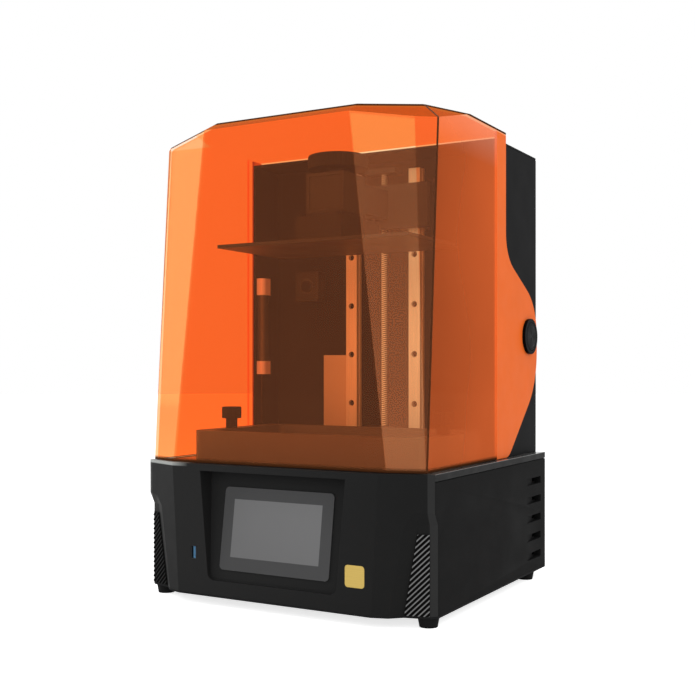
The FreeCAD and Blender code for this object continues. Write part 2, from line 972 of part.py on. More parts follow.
def make_power_rocker():
    """Rocker of the power switch on its two pivot stubs, tipped to the off side."""
    y = rear_face - rocker_reach + rocker_proud
    reach = rocker_reach
    back = y - rocker_root
    points = [(back, switch_z - rocker_root), (y + reach, switch_z - rocker_half)]
    points += [(y + reach - rocker_dip, switch_z), (y + reach, switch_z + rocker_half)]
    points += [(back, switch_z + rocker_root)]
    wide = switch_width / 2 - switch_wall - fit_gap
    body = plate_x(points, inlet_x - wide, inlet_x + wide)
    stub = switch_width / 2 - fit_gap
    rocker = joined([body, rod_x(rocker_pin_radius, inlet_x - stub, inlet_x + stub, y, switch_z)])
    rocker.rotate(Vector(inlet_x, y, switch_z), Vector(1, 0, 0), rocker_tilt)
    return rocker


def well_points(margin):
    """Plan outline of the vat's well, grown by a margin."""
    radius = well_corner + margin
    reach = well_half + margin
    return rectangle(-reach, reach, well_front - margin, well_rear + margin, radius)


def ring_screw_places():
    """Places of the film ring's screws, along the front and rear of the well."""
    pitch = 2 * (well_half - well_corner) / (ring_screws_per_side - 1)
    places = []
    for y in (well_front - ring_width / 2, well_rear + ring_width / 2):
        for index in range(ring_screws_per_side):
            places.append((-well_half + well_corner + index * pitch, y))
    return places


def make_vat_frame():
    """Vat body with an open well, rebated below for the film and its ring."""
    body = plate_z(rectangle(-vat_half, vat_half, vat_front, vat_rear, vat_corner), deck_top, vat_rim)
    cuts = [plate_z(well_points(0), 0, big)]
    cuts.append(plate_z(well_points(ring_width), 0, ring_top))
    for x in (-thumb_x, thumb_x):
        cuts.append(post(thumb_stem_radius + running_gap, x, thumb_y, 0, big))
    for x, y in ring_screw_places():
        cuts.append(post(ring_screw_radius, x, y, 0, ring_bottom + ring_screw_length))
    return body.cut(cuts)


def make_release_film():
    """Clear film that closes the well from below."""
    film = plate_z(well_points(ring_width - fit_gap), film_bottom, ring_bottom)
    return film.cut([post(ring_screw_radius, x, y, 0, big) for x, y in ring_screw_places()])


def make_film_ring():
    """Ring that clamps the film to the vat."""
    ring = plate_z(well_points(ring_width - fit_gap), ring_bottom, ring_top)
    cuts = [plate_z(well_points(0), 0, big)]
    cuts += [post(ring_screw_radius, x, y, 0, big) for x, y in ring_screw_places()]
    return ring.cut(cuts)


def make_ring_screws():
    """Screws of the film ring."""
    top = ring_bottom + ring_screw_length
    screws = [post(ring_screw_radius, x, y, film_bottom, top) for x, y in ring_screw_places()]
    return Part.makeCompound(screws)


def make_vat_thumbscrew(x):
    """Thumbscrew that holds the vat on the deck."""
    low = vat_rim + fit_gap
    neck_top = low + thumb_neck_height
    stem = post(thumb_stem_radius, x, thumb_y, deck_bottom, low)
    neck = post(thumb_neck_radius, x, thumb_y, low, neck_top)
    head = post(thumb_head_radius, x, thumb_y, neck_top, neck_top + thumb_head_height)
    return joined([stem, neck, head])


def make_tower_shell():
    """Side walls and back of the tower in one bent sheet."""
    outer = box(-tower_half, tower_half, tower_front, rear, deck_top, tower_top - tower_wall)
    inner = box(-tower_inner, tower_inner, tower_front - wall, rear - tower_wall, 0, big)
    holes = rod_x(pin_radius, -half, half, pivot_y, pivot_z)
    return outer.cut([inner, holes])


def make_tower_cap():
    """Lid plate of the tower."""
    return box(-tower_half, tower_half, tower_front, rear, tower_top - tower_wall, tower_top)


def rail_hole_heights():
    """Heights of the rail screws."""
    return [rail_hole_first + index * rail_hole_pitch for index in range(rail_holes)]


def make_axis_panel():
    """Upright panel in the tower that carries the vertical axis."""
    top = tower_top - tower_wall
    panel = box(-tower_inner, tower_inner, panel_front, panel_front + panel_thickness, deck_top, top)
    holes = []
    for x in (-rail_x, rail_x):
        for z in rail_hole_heights():
            holes.append(rod_y(rail_shank_radius, x, panel_front - wall, rear, z))
    return panel.cut(holes)


def make_rail(x):
    """Linear rail with side grooves and counterbored holes."""
    wide = rail_width / 2
    rail = box(x - wide, x + wide, rail_front, panel_front, deck_top + rail_lift, rail_top)
    middle = rail_front + rail_depth / 2
    groove = rail_groove_width / 2
    cuts = []
    for side in (-1, 1):
        edge = x + side * wide
        cuts.append(box(edge - rail_groove, edge + rail_groove, middle - groove, middle + groove, 0, big))
    seat = rail_front + 2 * rail_head_height
    for z in rail_hole_heights():
        cuts.append(rod_y(rail_head_radius, x, rail_front - wall, seat, z))
        cuts.append(rod_y(rail_shank_radius, x, seat - wall, panel_front + wall, z))
    return rail.cut(cuts)


def make_rail_screws():
    """Cap screws of both rails, sunk in the rails and threaded in the panel."""
    seat = rail_front + 2 * rail_head_height
    screws = []
    for x in (-rail_x, rail_x):
        for z in rail_hole_heights():
            head = rod_y(rail_head_radius, x, seat - rail_head_height, seat, z)
            shank = rod_y(rail_shank_radius, x, seat, panel_front + panel_thickness, z)
            screws.append(joined([head, shank]))
    return Part.makeCompound(screws)


def bearing(z0, z1):
    """Bearing block of the screw on the axis panel."""
    wide = bearing_width / 2
    block = box(-wide, wide, panel_front - bearing_depth, panel_front, z0, z1)
    return block.cut(post(screw_radius + running_gap, 0, screw_y, 0, big))


def make_lower_bearing():
    """Lower screw bearing, standing on the deck."""
    return bearing(deck_top, deck_top + lower_bearing_height)


def make_upper_bearing():
    """Upper screw bearing."""
    return bearing(upper_bearing_bottom, upper_bearing_bottom + upper_bearing_height)


def make_ball_screw():
    """Drive screw from the coupling up through both bearings."""
    return post(screw_radius, 0, screw_y, motor_top + coupling_height / 2 + fit_gap, screw_top)


def make_motor_shaft():
    """Shaft of the axis motor."""
    middle = motor_top + coupling_height / 2
    return post(motor_shaft_radius, 0, screw_y, motor_top - motor_drop / 2, middle)


def make_coupling():
    """Coupling that clamps the motor shaft to the drive screw."""
    low = motor_top + coupling_gap
    middle = motor_top + coupling_height / 2
    body = post(coupling_radius, 0, screw_y, low, low + coupling_height)
    lower = post(motor_shaft_radius, 0, screw_y, 0, middle + fit_gap)
    upper = post(screw_radius, 0, screw_y, middle + fit_gap, big)
    return body.cut([lower, upper])


def make_axis_motor():
    """Stepper motor hung under the deck."""
    reach = motor_size / 2
    body = box(-reach, reach, screw_y - reach, screw_y + reach, motor_top - motor_height, motor_top)
    low = motor_top - motor_drop / 2
    return body.cut(post(motor_shaft_radius + running_gap, 0, screw_y, low - fit_gap, big))


def make_motor_pillars():
    """Four pillars between the motor and the deck."""
    reach = motor_size / 2 - pillar_inset
    pillars = []
    for x in (-reach, reach):
        for y in (screw_y - reach, screw_y + reach):
            pillars.append(post(pillar_radius, x, y, motor_top, deck_bottom))
    return Part.makeCompound(pillars)


def make_carriage_plate():
    """Plate that joins both rail blocks and the nut."""
    wide = carriage_width / 2
    return box(-wide, wide, carriage_front, block_front, carriage_bottom, carriage_top)


def make_rail_block(x):
    """Slide block that wraps the rail with a running gap."""
    wide = block_width / 2
    body = box(x - wide, x + wide, block_front, block_front + block_depth, carriage_bottom, carriage_top)
    channel = rail_width / 2 + block_gap
    return body.cut(box(x - channel, x + channel, rail_front - block_gap, rear, 0, big))


def make_screw_nut():
    """Nut block on the drive screw, bolted to the carriage plate."""
    wide = nut_width / 2
    body = box(-wide, wide, block_front, block_front + nut_depth, nut_bottom, nut_bottom + nut_height)
    return body.cut(post(screw_radius + thread_gap, 0, screw_y, 0, big))


def make_limit_flag():
    """Flag on the carriage that breaks the sensor's beam at the top."""
    return box(flag_x, flag_x + flag_thickness, block_front, block_front + flag_depth,
               carriage_top - flag_height, carriage_top)


def make_limit_sensor():
    """Forked sensor on the axis panel."""
    slot = flag_x + flag_thickness / 2
    wide = sensor_slot / 2 + sensor_arm
    low = carriage_top - flag_height / 2
    y0 = panel_front - sensor_depth
    body = box(slot - wide, slot + wide, y0, panel_front, low, low + sensor_height)
    gap = sensor_slot / 2
    return body.cut(box(slot - gap, slot + gap, y0 - wall, panel_front - sensor_arm, 0, big))


def make_platform_arm():
    """Beam from the carriage plate to the clamp."""
    wide = arm_width / 2
    return box(-wide, wide, clamp_rear, carriage_front, arm_bottom, arm_bottom + arm_height)


def make_clamp_block():
    """Clamp head with a sunk panel in its front and the bore of the knob's stud."""
    wide = clamp_width / 2
    body = box(-wide, wide, clamp_front, clamp_rear, clamp_bottom, clamp_top)
    inner = wide - clamp_frame
    panel = box(-inner, inner, clamp_front - wall, clamp_front + clamp_panel,
                clamp_bottom + clamp_frame, clamp_top - clamp_frame)
    stud = post(knob_stud_radius + running_gap, 0, knob_y, clamp_top - knob_stud_length - fit_gap, big)
    return body.cut([panel, stud])


def level_screw_places():
    """Places of the levelling screws on the mount block."""
    front_y = mount_front + level_screw_inset
    rear_y = mount_front + mount_depth - level_screw_inset
    return [(x, y) for x in (-level_screw_x, level_screw_x) for y in (front_y, rear_y)]


def make_platform_mount():
    """Block on the build plate, with a raised pad under the clamp."""
    wide = mount_width / 2
    block = box(-wide, wide, mount_front, mount_front + mount_depth, plate_top, mount_top)
    pad = tilt_plate_width / 2
    raised = box(-pad, pad, clamp_front, clamp_rear, mount_top, clamp_bottom)
    low = mount_top - level_shank_length
    holes = [post(level_shank_radius, x, y, low, mount_top) for x, y in level_screw_places()]
    return joined([block, raised]).cut(holes)


def make_levelling_screws():
    """Four levelling screws."""
    screws = []
    for x, y in level_screw_places():
        shank = post(level_shank_radius, x, y, mount_top - level_shank_length, mount_top)
        head = post(level_head_radius, x, y, mount_top, mount_top + level_head_height)
        screws.append(joined([shank, head]))
    return Part.makeCompound(screws)


def make_build_plate():
    """Flat plate on which the print grows."""
    return box(-plate_half, plate_half, plate_front, plate_rear, plate_bottom, plate_top)


def make_platform_knob():
    """Large clamp knob with a collar and a stud."""
    low = clamp_top + fit_gap
    collar_top = low + knob_collar_height
    stud = post(knob_stud_radius, 0, knob_y, clamp_top - knob_stud_length, low)
    collar = post(knob_collar_radius, 0, knob_y, low, collar_top)
    head = post(knob_radius, 0, knob_y, collar_top, collar_top + knob_height)
    return joined([stud, collar, head])


def lamp_points(margin):
    """Plan outline of the lamp on the left inner wall, rounded on its free side."""
    x0 = -tower_inner
    x1 = x0 + lamp_depth + margin
    reach = lamp_width / 2 + margin
    radius = lamp_depth / 2
    low = lamp_y - reach
    high = lamp_y + reach
    return [(x0, low), (x1, low, radius), (x1, high, radius), (x0, high)]


def make_lamp_tube():
    """Diffuser of the chamber lamp, between its two caps."""
    return plate_z(lamp_points(0), lamp_bottom + lamp_cap_lower, lamp_bottom + lamp_length - lamp_cap_upper)


def make_lamp_caps():
    """End caps of the chamber lamp."""
    top = lamp_bottom + lamp_length
    lower = plate_z(lamp_points(lamp_cap_margin), lamp_bottom, lamp_bottom + lamp_cap_lower)
    upper = plate_z(lamp_points(lamp_cap_margin), top - lamp_cap_upper, top)
    return Part.makeCompound([lower, upper])


def make_lamp_lead():
    """Lead of the chamber lamp, straight down the wall to the deck."""
    return post(lead_radius, -tower_inner + lead_radius, lamp_y, deck_top, lamp_bottom)


def make_camera_housing():
    """Small camera on the axis panel."""
    x0 = camera_x - camera_width / 2
    z0 = camera_z - camera_height / 2
    body = box(x0, x0 + camera_width, panel_front - camera_depth, panel_front, z0, z0 + camera_height)
    seat = panel_front - camera_depth + lens_length / 2
    return body.cut(rod_y(lens_radius, camera_x, 0, seat, camera_z))


def make_camera_lens():
    """Lens of the camera, sunk in its housing."""
    seat = panel_front - camera_depth + lens_length / 2
    return rod_y(lens_radius, camera_x, seat - lens_length, seat, camera_z)


def make_service_cover():
    """Pale cover plate beside the left rail."""
    y0 = panel_front - cover_thickness
    return box(cover_left, cover_right, y0, panel_front, cover_bottom, cover_top)


def plane(points, shift):
    """Plane through three points, as a normal and an offset moved inwards by a shift."""
    normal = (points[1] - points[0]).cross(points[2] - points[0]).normalize()
    return normal, normal.dot(points[0]) - shift


def meet(first, second, third):
    """Point where three planes cross."""
    (n1, d1), (n2, d2), (n3, d3) = first, second, third
    total = n2.cross(n3) * d1 + n3.cross(n1) * d2 + n1.cross(n2) * d3
    return total * (1 / n1.dot(n2.cross(n3)))


def lid_outer_corners():
    """Right half of the lid's corners: bottom, ridge and roof."""
    front_low = Vector(lid_half - lid_corner_bottom, lid_front, lid_bottom)
    front_high = Vector(lid_half - lid_corner_top, lid_front, lid_front_top)
    side_low = Vector(lid_half, lid_front + lid_side_setback_bottom, lid_bottom)
    side_high = Vector(lid_half, lid_front + lid_side_setback_top, lid_side_top)
    facet = plane([front_low, side_low, front_high], 0)
    upright = (Vector(1, 0, 0), lid_half - lid_crease_inset)
    crease = meet(facet, upright, (Vector(0, 0, 1), lid_crease_top))
    roof_front = Vector(lid_half - roof_front_inset, lid_front + roof_front_setback, lid_roof)
    roof_corner = Vector(lid_half - roof_corner_inset, lid_front + roof_corner_setback, lid_roof)
    roof_side = Vector(lid_half, lid_front + roof_side_setback, lid_roof)
    rear_low = Vector(lid_half, roof_rear, lid_bottom)
    rear_high = Vector(lid_half, roof_rear, lid_roof)
    return [front_low, side_low, rear_low, front_high, crease, side_high,
            roof_front, roof_corner, roof_side, rear_high]


def lid_inner_corners(outer):
    """The same corners moved inwards by the wall, past the open bottom and rear."""
    front_low, side_low, _, front_high, crease = outer[:5]
    side_high, roof_front, roof_corner, roof_side = outer[5:9]
    wide = plane([front_low, side_low, front_high], lid_wall)
    slim = plane([side_low, side_high, crease], lid_wall)
    face = (Vector(0, -1, 0), -lid_front - lid_wall)
    side = (Vector(1, 0, 0), lid_inner)
    roof = (Vector(0, 0, 1), lid_roof - lid_wall)
    left_front = Vector(-front_high.x, front_high.y, front_high.z)
    brow = plane([left_front, front_high, roof_front], lid_wall)
    corner = plane([crease, roof_corner, roof_front], lid_wall)
    cheek = plane([side_high, roof_side, roof_corner], lid_wall)
    shoulder = plane([crease, side_high, roof_corner], lid_wall)
    below = (Vector(0, 0, 1), lid_bottom - lid_wall)
    behind = (Vector(0, 1, 0), roof_rear + lid_wall)
    return [meet(face, wide, below), meet(wide, side, below), meet(side, behind, below),
            meet(face, wide, brow), meet(wide, slim, corner), meet(slim, side, shoulder),
            meet(brow, corner, roof), meet(corner, cheek, roof), meet(cheek, side, roof),
            meet(side, behind, roof)]


def lid_body(corners):
    """Closed solid from the right half of the lid's corners."""
    left = [Vector(-c.x, c.y, c.z) for c in corners]
    front_low, side_low, rear_low, front_high, crease = range(5)
    side_high, roof_front, roof_corner, roof_side, rear_high = range(5, 10)
    faces = [[corners[front_low], corners[front_high], left[front_high], left[front_low]],
             [corners[front_high], corners[roof_front], left[roof_front], left[front_high]],
             [corners[i] for i in (roof_front, roof_corner, roof_side, rear_high)]
             + [left[i] for i in (rear_high, roof_side, roof_corner, roof_front)],
             [corners[rear_low], corners[rear_high], left[rear_high], left[rear_low]],
             [corners[i] for i in (front_low, side_low, rear_low)]
             + [left[i] for i in (rear_low, side_low, front_low)]]
    for half_corners in (corners, left):
        for loop in ((front_low, side_low, front_high), (side_low, crease, front_high),
                     (side_low, side_high, crease), (front_high, crease, roof_front),
                     (crease, roof_corner, roof_front), (crease, side_high, roof_corner),
                     (side_high, roof_side, roof_corner),
                     (side_low, rear_low, rear_high, roof_side, side_high)):
            faces.append([half_corners[i] for i in loop])
    shell = Part.Shell([Part.Face(Part.makePolygon(loop + loop[:1])) for loop in faces])
    solid = Part.Solid(shell)
    if solid.Volume < 0:
        solid.reverse()
    return solid


def make_lid_shell():
    """Tinted shell, open below and behind, cut back where the arms take over the sides."""
    outer = lid_outer_corners()
    shell = lid_body(outer).cut(lid_body(lid_inner_corners(outer)))
    arm_zone = box(lid_inner, big, arm_front, big, 0, lid_roof - lid_wall)
    return shell.cut([arm_zone, mirrored(arm_zone)])


def make_lid_arm():
    """Right arm that carries the lid on its pivot, flush with the lid's side."""
    top = lid_roof - lid_wall
    points = [(arm_front, lid_bottom), (arm_foot, lid_bottom, arm_foot_radius)]
    points += [(lobe_rear, lobe_low, lobe_low_radius), (lobe_rear, lobe_high, lobe_high_radius)]
    points += [(arm_edge, arm_neck, arm_neck_radius), (arm_edge, top), (arm_front, top)]
    plate = plate_x(points, lid_inner, lid_half)
    return plate.cut(rod_x(pin_radius + running_gap, 0, half, pivot_y, pivot_z))


def make_hinge_hub():
    """Right pivot pin with its round cover."""
    pin = rod_x(pin_radius, tower_inner - 2 * nut_thickness, lid_half + hub_gap, pivot_y, pivot_z)
    cap = rod_x(hub_radius, lid_half + hub_gap, lid_half + hub_gap + hub_thickness, pivot_y, pivot_z)
    return joined([pin, cap])


def make_hinge_washers():
    """Spacers between the tower and the arms."""
    ring = rod_x(washer_radius, tower_half, tower_half + washer_thickness, pivot_y, pivot_z)
    return pair(ring.cut(rod_x(pin_radius, 0, half, pivot_y, pivot_z)))


def make_hinge_nuts():
    """Nuts that hold the pivot pins inside the tower."""
    corners = []
    for index in range(6):
        angle = math.radians(60 * index)
        corners.append((pivot_y + nut_radius * math.cos(angle), pivot_z + nut_radius * math.sin(angle)))
    nut = plate_x(corners, tower_inner - nut_thickness, tower_inner)
    return pair(nut.cut(rod_x(pin_radius, 0, half, pivot_y, pivot_z)))


def main():
    """Build every piece and write it to its own file."""
    os.makedirs("parts", exist_ok=True)
    side_panel = make_side_panel()
    lid_arm = make_lid_arm()
    pieces = {
        "bottom_pan": make_bottom_pan(),
        "rubber_feet": make_feet(),
        "front_bezel": make_front_bezel(),
        "right_corner_grille": make_corner_grille(True),
        "left_corner_grille": make_corner_grille(False),
        "touch_panel": make_touch_panel(),
        "display_module": make_display_module(),
        "usb_port": Part.makeCompound([make_usb_port(), make_usb_tongue()]),
        "badge_plate": make_badge(),
        "right_side_panel": side_panel,
        "left_side_panel": mirrored(side_panel),
        "rear_panel": make_rear_panel(),
        "top_deck": make_top_deck(),
        "mask_lcd": make_mask_lcd(),
        "light_hood": make_light_hood(),
        "lens_array": make_lens_array(),
        "led_board": make_led_board(),
        "heat_sink": make_heat_sink(),
        "main_board": make_main_board(),
        "standoffs": Part.makeCompound(make_board_standoffs().Solids + make_motor_pillars().Solids),
        "power_supply": make_power_supply(),
        "fan_frame": make_fan_frame(),
        "fan_rotor": make_fan_rotor(),
        "power_inlet": Part.makeCompound([make_power_inlet()] + make_inlet_pins().Solids),
        "switch_frame": make_switch_frame(),
        "power_rocker": make_power_rocker(),
        "vat_frame": make_vat_frame(),
        "release_film": make_release_film(),
        "film_ring": make_film_ring(),
        "ring_screws": make_ring_screws(),
        "left_vat_thumbscrew": make_vat_thumbscrew(-thumb_x),
        "right_vat_thumbscrew": make_vat_thumbscrew(thumb_x),
        "tower_shell": make_tower_shell(),
        "tower_cap": make_tower_cap(),
        "axis_panel": make_axis_panel(),
        "linear_rails": Part.makeCompound([make_rail(-rail_x), make_rail(rail_x)]),
        "rail_screws": make_rail_screws(),
        "screw_bearings": Part.makeCompound([make_lower_bearing(), make_upper_bearing()]),
        "axis_motor": make_axis_motor(),
        "drive_screw": joined([make_ball_screw(), make_coupling(), make_motor_shaft()]),
        "carriage_plate": make_carriage_plate(),
        "rail_blocks": Part.makeCompound([make_rail_block(-rail_x), make_rail_block(rail_x)]),
        "screw_nut": make_screw_nut(),
        "limit_flag": make_limit_flag(),
        "limit_sensor": make_limit_sensor(),
        "platform_arm": joined([make_platform_arm(), make_clamp_block()]),
        "platform_mount": make_platform_mount(),
        "levelling_screws": make_levelling_screws(),
        "build_plate": make_build_plate(),
        "platform_knob": make_platform_knob(),
        "chamber_lamp": Part.makeCompound([make_lamp_tube()] + make_lamp_caps().Solids),
        "lamp_lead": make_lamp_lead(),
        "camera": Part.makeCompound([make_camera_housing(), make_camera_lens()]),
        "service_cover": make_service_cover(),
        "lid_shell": make_lid_shell(),
        "lid_arm_right": lid_arm,
        "lid_arm_left": mirrored(lid_arm),
        "hinge_hubs": pair(make_hinge_hub()),
        "hinge_fasteners": Part.makeCompound(make_hinge_washers().Solids + make_hinge_nuts().Solids),
    }
    for name, shape in pieces.items():
        if not shape.isValid():
            print("not valid:", name)
        save(name, shape)
    print(len(pieces), "pieces")


main()
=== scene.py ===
import json
import math

import bmesh
import bpy
import numpy as np
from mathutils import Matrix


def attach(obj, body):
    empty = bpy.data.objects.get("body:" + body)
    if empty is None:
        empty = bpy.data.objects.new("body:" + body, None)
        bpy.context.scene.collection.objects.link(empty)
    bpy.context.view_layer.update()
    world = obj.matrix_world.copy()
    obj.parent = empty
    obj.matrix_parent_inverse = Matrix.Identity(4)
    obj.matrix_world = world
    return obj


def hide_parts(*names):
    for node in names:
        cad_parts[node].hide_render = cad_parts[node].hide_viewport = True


# Looks of the resin printer: amber lid, black moulded base, dark tower and the bright vertical axis.
# Metres, +Z up, front at -Y. Every piece keeps its place in its mesh, so objects sit at the origin.

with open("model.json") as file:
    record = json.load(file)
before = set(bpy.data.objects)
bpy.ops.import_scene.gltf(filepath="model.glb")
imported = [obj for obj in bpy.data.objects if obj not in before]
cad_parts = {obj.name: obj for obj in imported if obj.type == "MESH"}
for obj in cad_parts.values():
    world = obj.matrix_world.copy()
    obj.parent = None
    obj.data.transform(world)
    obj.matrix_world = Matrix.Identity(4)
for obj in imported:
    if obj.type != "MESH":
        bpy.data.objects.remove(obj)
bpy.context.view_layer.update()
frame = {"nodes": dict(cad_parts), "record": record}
nodes = frame["nodes"]
body_of = {}
for body_name, members in frame["record"]["behaviour"]["bodies"].items():
    for member in members:
        body_of[member] = body_name
slot_of = {}
for entry in frame["record"]["subparts"]:
    slot_of[entry["node"]] = entry["material_slot"]
joint_place = {}
for joint in frame["record"]["behaviour"]["joints"]:
    joint_place[joint["name"]] = joint.get("pos_m")


# Places and sizes, from the frame where a node or a joint gives them

def box_of(name):
    """The lowest and the highest corner of a node."""
    corners = np.array(nodes[name].bound_box)
    return corners.min(0).tolist(), corners.max(0).tolist()


lid_low, lid_high = box_of("lid_shell")
lamp_low, lamp_high = box_of("chamber_lamp")
camera_low, camera_high = box_of("camera")
bezel_high = box_of("front_bezel")[1]
deck_high = box_of("top_deck")[1]
socket_front = box_of("usb_port")[0][1]
tower_front = box_of("tower_shell")[0][1]
pivot_y, pivot_z = joint_place["lid_swing"][1:]
screw_x, screw_y = joint_place["drive_spin"][:2]
screw_pitch = 0.0025
rib_pitch = 0.0052326
lit_half_width = 0.054
lit_bottom, lit_top = 0.0527, 0.1126
lamp_lower_cap, lamp_upper_cap = 0.0165, 0.021
socket_lip = 0.0036
clear_strip_end = tower_front + 0.004
# Height span of the band of painted shade along the outside of the lid's foot.
foot_line = (lid_low[2] + 0.0021, lid_low[2] + 0.0053)
above_lid = lid_high[2] + 0.08


# Node trees

def start_finish(name):
    """An empty material with its Principled shader and Object coordinates."""
    mat = bpy.data.materials.new(name)
    mat.use_nodes = True
    tree = mat.node_tree
    shader = tree.nodes["Principled BSDF"]
    place = tree.nodes.new("ShaderNodeTexCoord").outputs["Object"]
    return mat, tree, shader, place


def add_node(tree, kind, links=None, values=None, **settings):
    """One node with its settings, plain values and links by input name or number."""
    node = tree.nodes.new(kind)
    for key, value in settings.items():
        setattr(node, key, value)
    for key, value in (values or {}).items():
        node.inputs[key].default_value = value
    for key, socket in (links or {}).items():
        tree.links.new(socket, node.inputs[key])
    return node


def noise(tree, place, scale, detail=3.0, stretch=(1.0, 1.0, 1.0)):
    """Noise value at a scale per metre, squeezed or drawn out along the axes."""
    mapped = add_node(tree, "ShaderNodeMapping", {"Vector": place}, {"Scale": stretch})
    grain = {"Scale": scale, "Detail": detail}
    cloud = add_node(tree, "ShaderNodeTexNoise", {"Vector": mapped.outputs[0]}, grain)
    return cloud.outputs["Fac"]


def span(tree, value, low, high, start=0.3, stop=0.7):
    """A value between start and stop, spread from low to high."""
    ends = {"From Min": start, "From Max": stop, "To Min": low, "To Max": high}
    return add_node(tree, "ShaderNodeMapRange", {"Value": value}, ends).outputs[0]


def blend_colours(tree, share, first, second):
    """Colour between two, by a value from 0 to 1. Each colour is a tuple or a socket."""
    node = add_node(tree, "ShaderNodeMix", {"Factor": share}, data_type="RGBA")
    for socket, colour in ((node.inputs[6], first), (node.inputs[7], second)):
        if isinstance(colour, tuple):
            socket.default_value = colour + (1.0,)
        else:
            tree.links.new(colour, socket)
    return node.outputs[2]


def calculate(tree, operation, *terms):
    """A maths node on numbers and sockets."""
    node = add_node(tree, "ShaderNodeMath", operation=operation)
    for socket, term in zip(node.inputs, terms):
        if isinstance(term, (int, float)):
            socket.default_value = term
        else:
            tree.links.new(term, socket)
    return node.outputs[0]


def within(tree, value, low, high, soft=0.0002):
    """1 where a coordinate lies between low and high, with a soft edge."""
    rise = span(tree, value, 0.0, 1.0, low - soft, low + soft)
    fall = span(tree, value, 1.0, 0.0, high - soft, high + soft)
    return calculate(tree, "MULTIPLY", rise, fall)


def axes(tree, place):
    """The x, y and z of a point as three sockets."""
    return add_node(tree, "ShaderNodeSeparateXYZ", {0: place}).outputs


def distance(tree, across, up):
    """Distance from a centre: the root of the sum of two squares."""
    squares = [calculate(tree, "MULTIPLY", leg, leg) for leg in (across, up)]
    return calculate(tree, "SQRT", calculate(tree, "ADD", *squares))


def grey_tone(level):
    """A neutral colour."""
    return (level, level, level)


def dress(tree, shader, colour, rough, specular=None):
    """Links a colour and a roughness to the shader, and sets how strongly it reflects."""
    tree.links.new(colour, shader.inputs["Base Color"])
    tree.links.new(rough, shader.inputs["Roughness"])
    if specular is not None:
        shader.inputs["Specular IOR Level"].default_value = specular


def relief(tree, shader, height, strength, depth=0.0002):
    """Bump from a height value."""
    bump = add_node(tree, "ShaderNodeBump", {"Height": height}, {"Strength": strength, "Distance": depth})
    tree.links.new(bump.outputs[0], shader.inputs["Normal"])


def mix_surfaces(tree, share, first, second):
    """A surface between two, by a value from 0 to 1."""
    return add_node(tree, "ShaderNodeMixShader", {0: share, 1: first, 2: second}).outputs[0]


def see_through(tree, tint):
    """A clear surface that colours what is behind it."""
    return add_node(tree, "ShaderNodeBsdfTransparent", values={"Color": tint + (1.0,)}).outputs[0]


def matt(tree, colour):
    """A plain matt surface."""
    return add_node(tree, "ShaderNodeBsdfDiffuse", values={"Color": colour + (1.0,)}).outputs[0]


def show(tree, surface):
    """Makes a surface the material's own."""
    tree.links.new(surface, tree.nodes["Material Output"].inputs["Surface"])


# Finishes shared by several nodes

def moulded(name, colour, rough, specular, depth=0.10):
    """Injection-moulded plastic: spark-eroded grain, faint mottling and uneven gloss."""
    mat, tree, shader, place = start_finish(name)
    lighter = tuple(min(1.0, c * 1.05) for c in colour)
    darker = tuple(c * 0.95 for c in colour)
    mottled = blend_colours(tree, span(tree, noise(tree, place, 9.0, 4.0), 0, 1), darker, lighter)
    dress(tree, shader, mottled, span(tree, noise(tree, place, 60.0), rough - 0.05, rough + 0.05), specular)
    relief(tree, shader, noise(tree, place, 1500.0, 2.0), depth)
    return mat


def powder_coat(name, colour, rough, specular):
    """Powder-coated sheet: orange-peel bump over an even dark colour."""
    mat, tree, shader, place = start_finish(name)
    peel = noise(tree, place, 700.0, 1.0)
    lighter = tuple(min(1.0, c * 1.1) for c in colour)
    mottled = blend_colours(tree, span(tree, peel, 0, 1), colour, lighter)
    dress(tree, shader, mottled, span(tree, noise(tree, place, 25.0), rough - 0.04, rough + 0.06), specular)
    relief(tree, shader, peel, 0.012)
    return mat


def brushed(name, colour, rough=0.32, along=(1.0, 1.0, 0.02), metal=1.0):
    """Metal, bare or matt, with fine drawn streaks along one axis."""
    mat, tree, shader, place = start_finish(name)
    streak = noise(tree, place, 900.0, 3.0, along)
    darker = tuple(c * 0.84 for c in colour)
    streaked = blend_colours(tree, span(tree, streak, 0, 1), darker, colour)
    dress(tree, shader, streaked, span(tree, streak, rough - 0.08, rough + 0.10))
    shader.inputs["Metallic"].default_value = metal
    relief(tree, shader, streak, 0.05)
    return mat


def let_light_in(tree, surface):
    """Shows a sheet of acrylic. Light on its way in keeps its white, as through a thin dye."""
    path = tree.nodes.new("ShaderNodeLightPath").outputs
    inward = calculate(tree, "MAXIMUM", path["Is Shadow Ray"], path["Is Diffuse Ray"])
    show(tree, mix_surfaces(tree, inward, surface, see_through(tree, (1.0, 0.93, 0.86))))


def clear_sheet(name, tint):
    """Inner face of the acrylic: a tinted see-through sheet, its dye a little uneven."""
    mat, tree, shader, place = start_finish(name)
    tree.nodes.remove(shader)
    thick = tuple(0.985 * c for c in tint)
    dye = blend_colours(tree, noise(tree, place, 6.0, 2.0), thick, tint)
    let_light_in(tree, add_node(tree, "ShaderNodeBsdfTransparent", {"Color": dye}).outputs[0])
    return mat


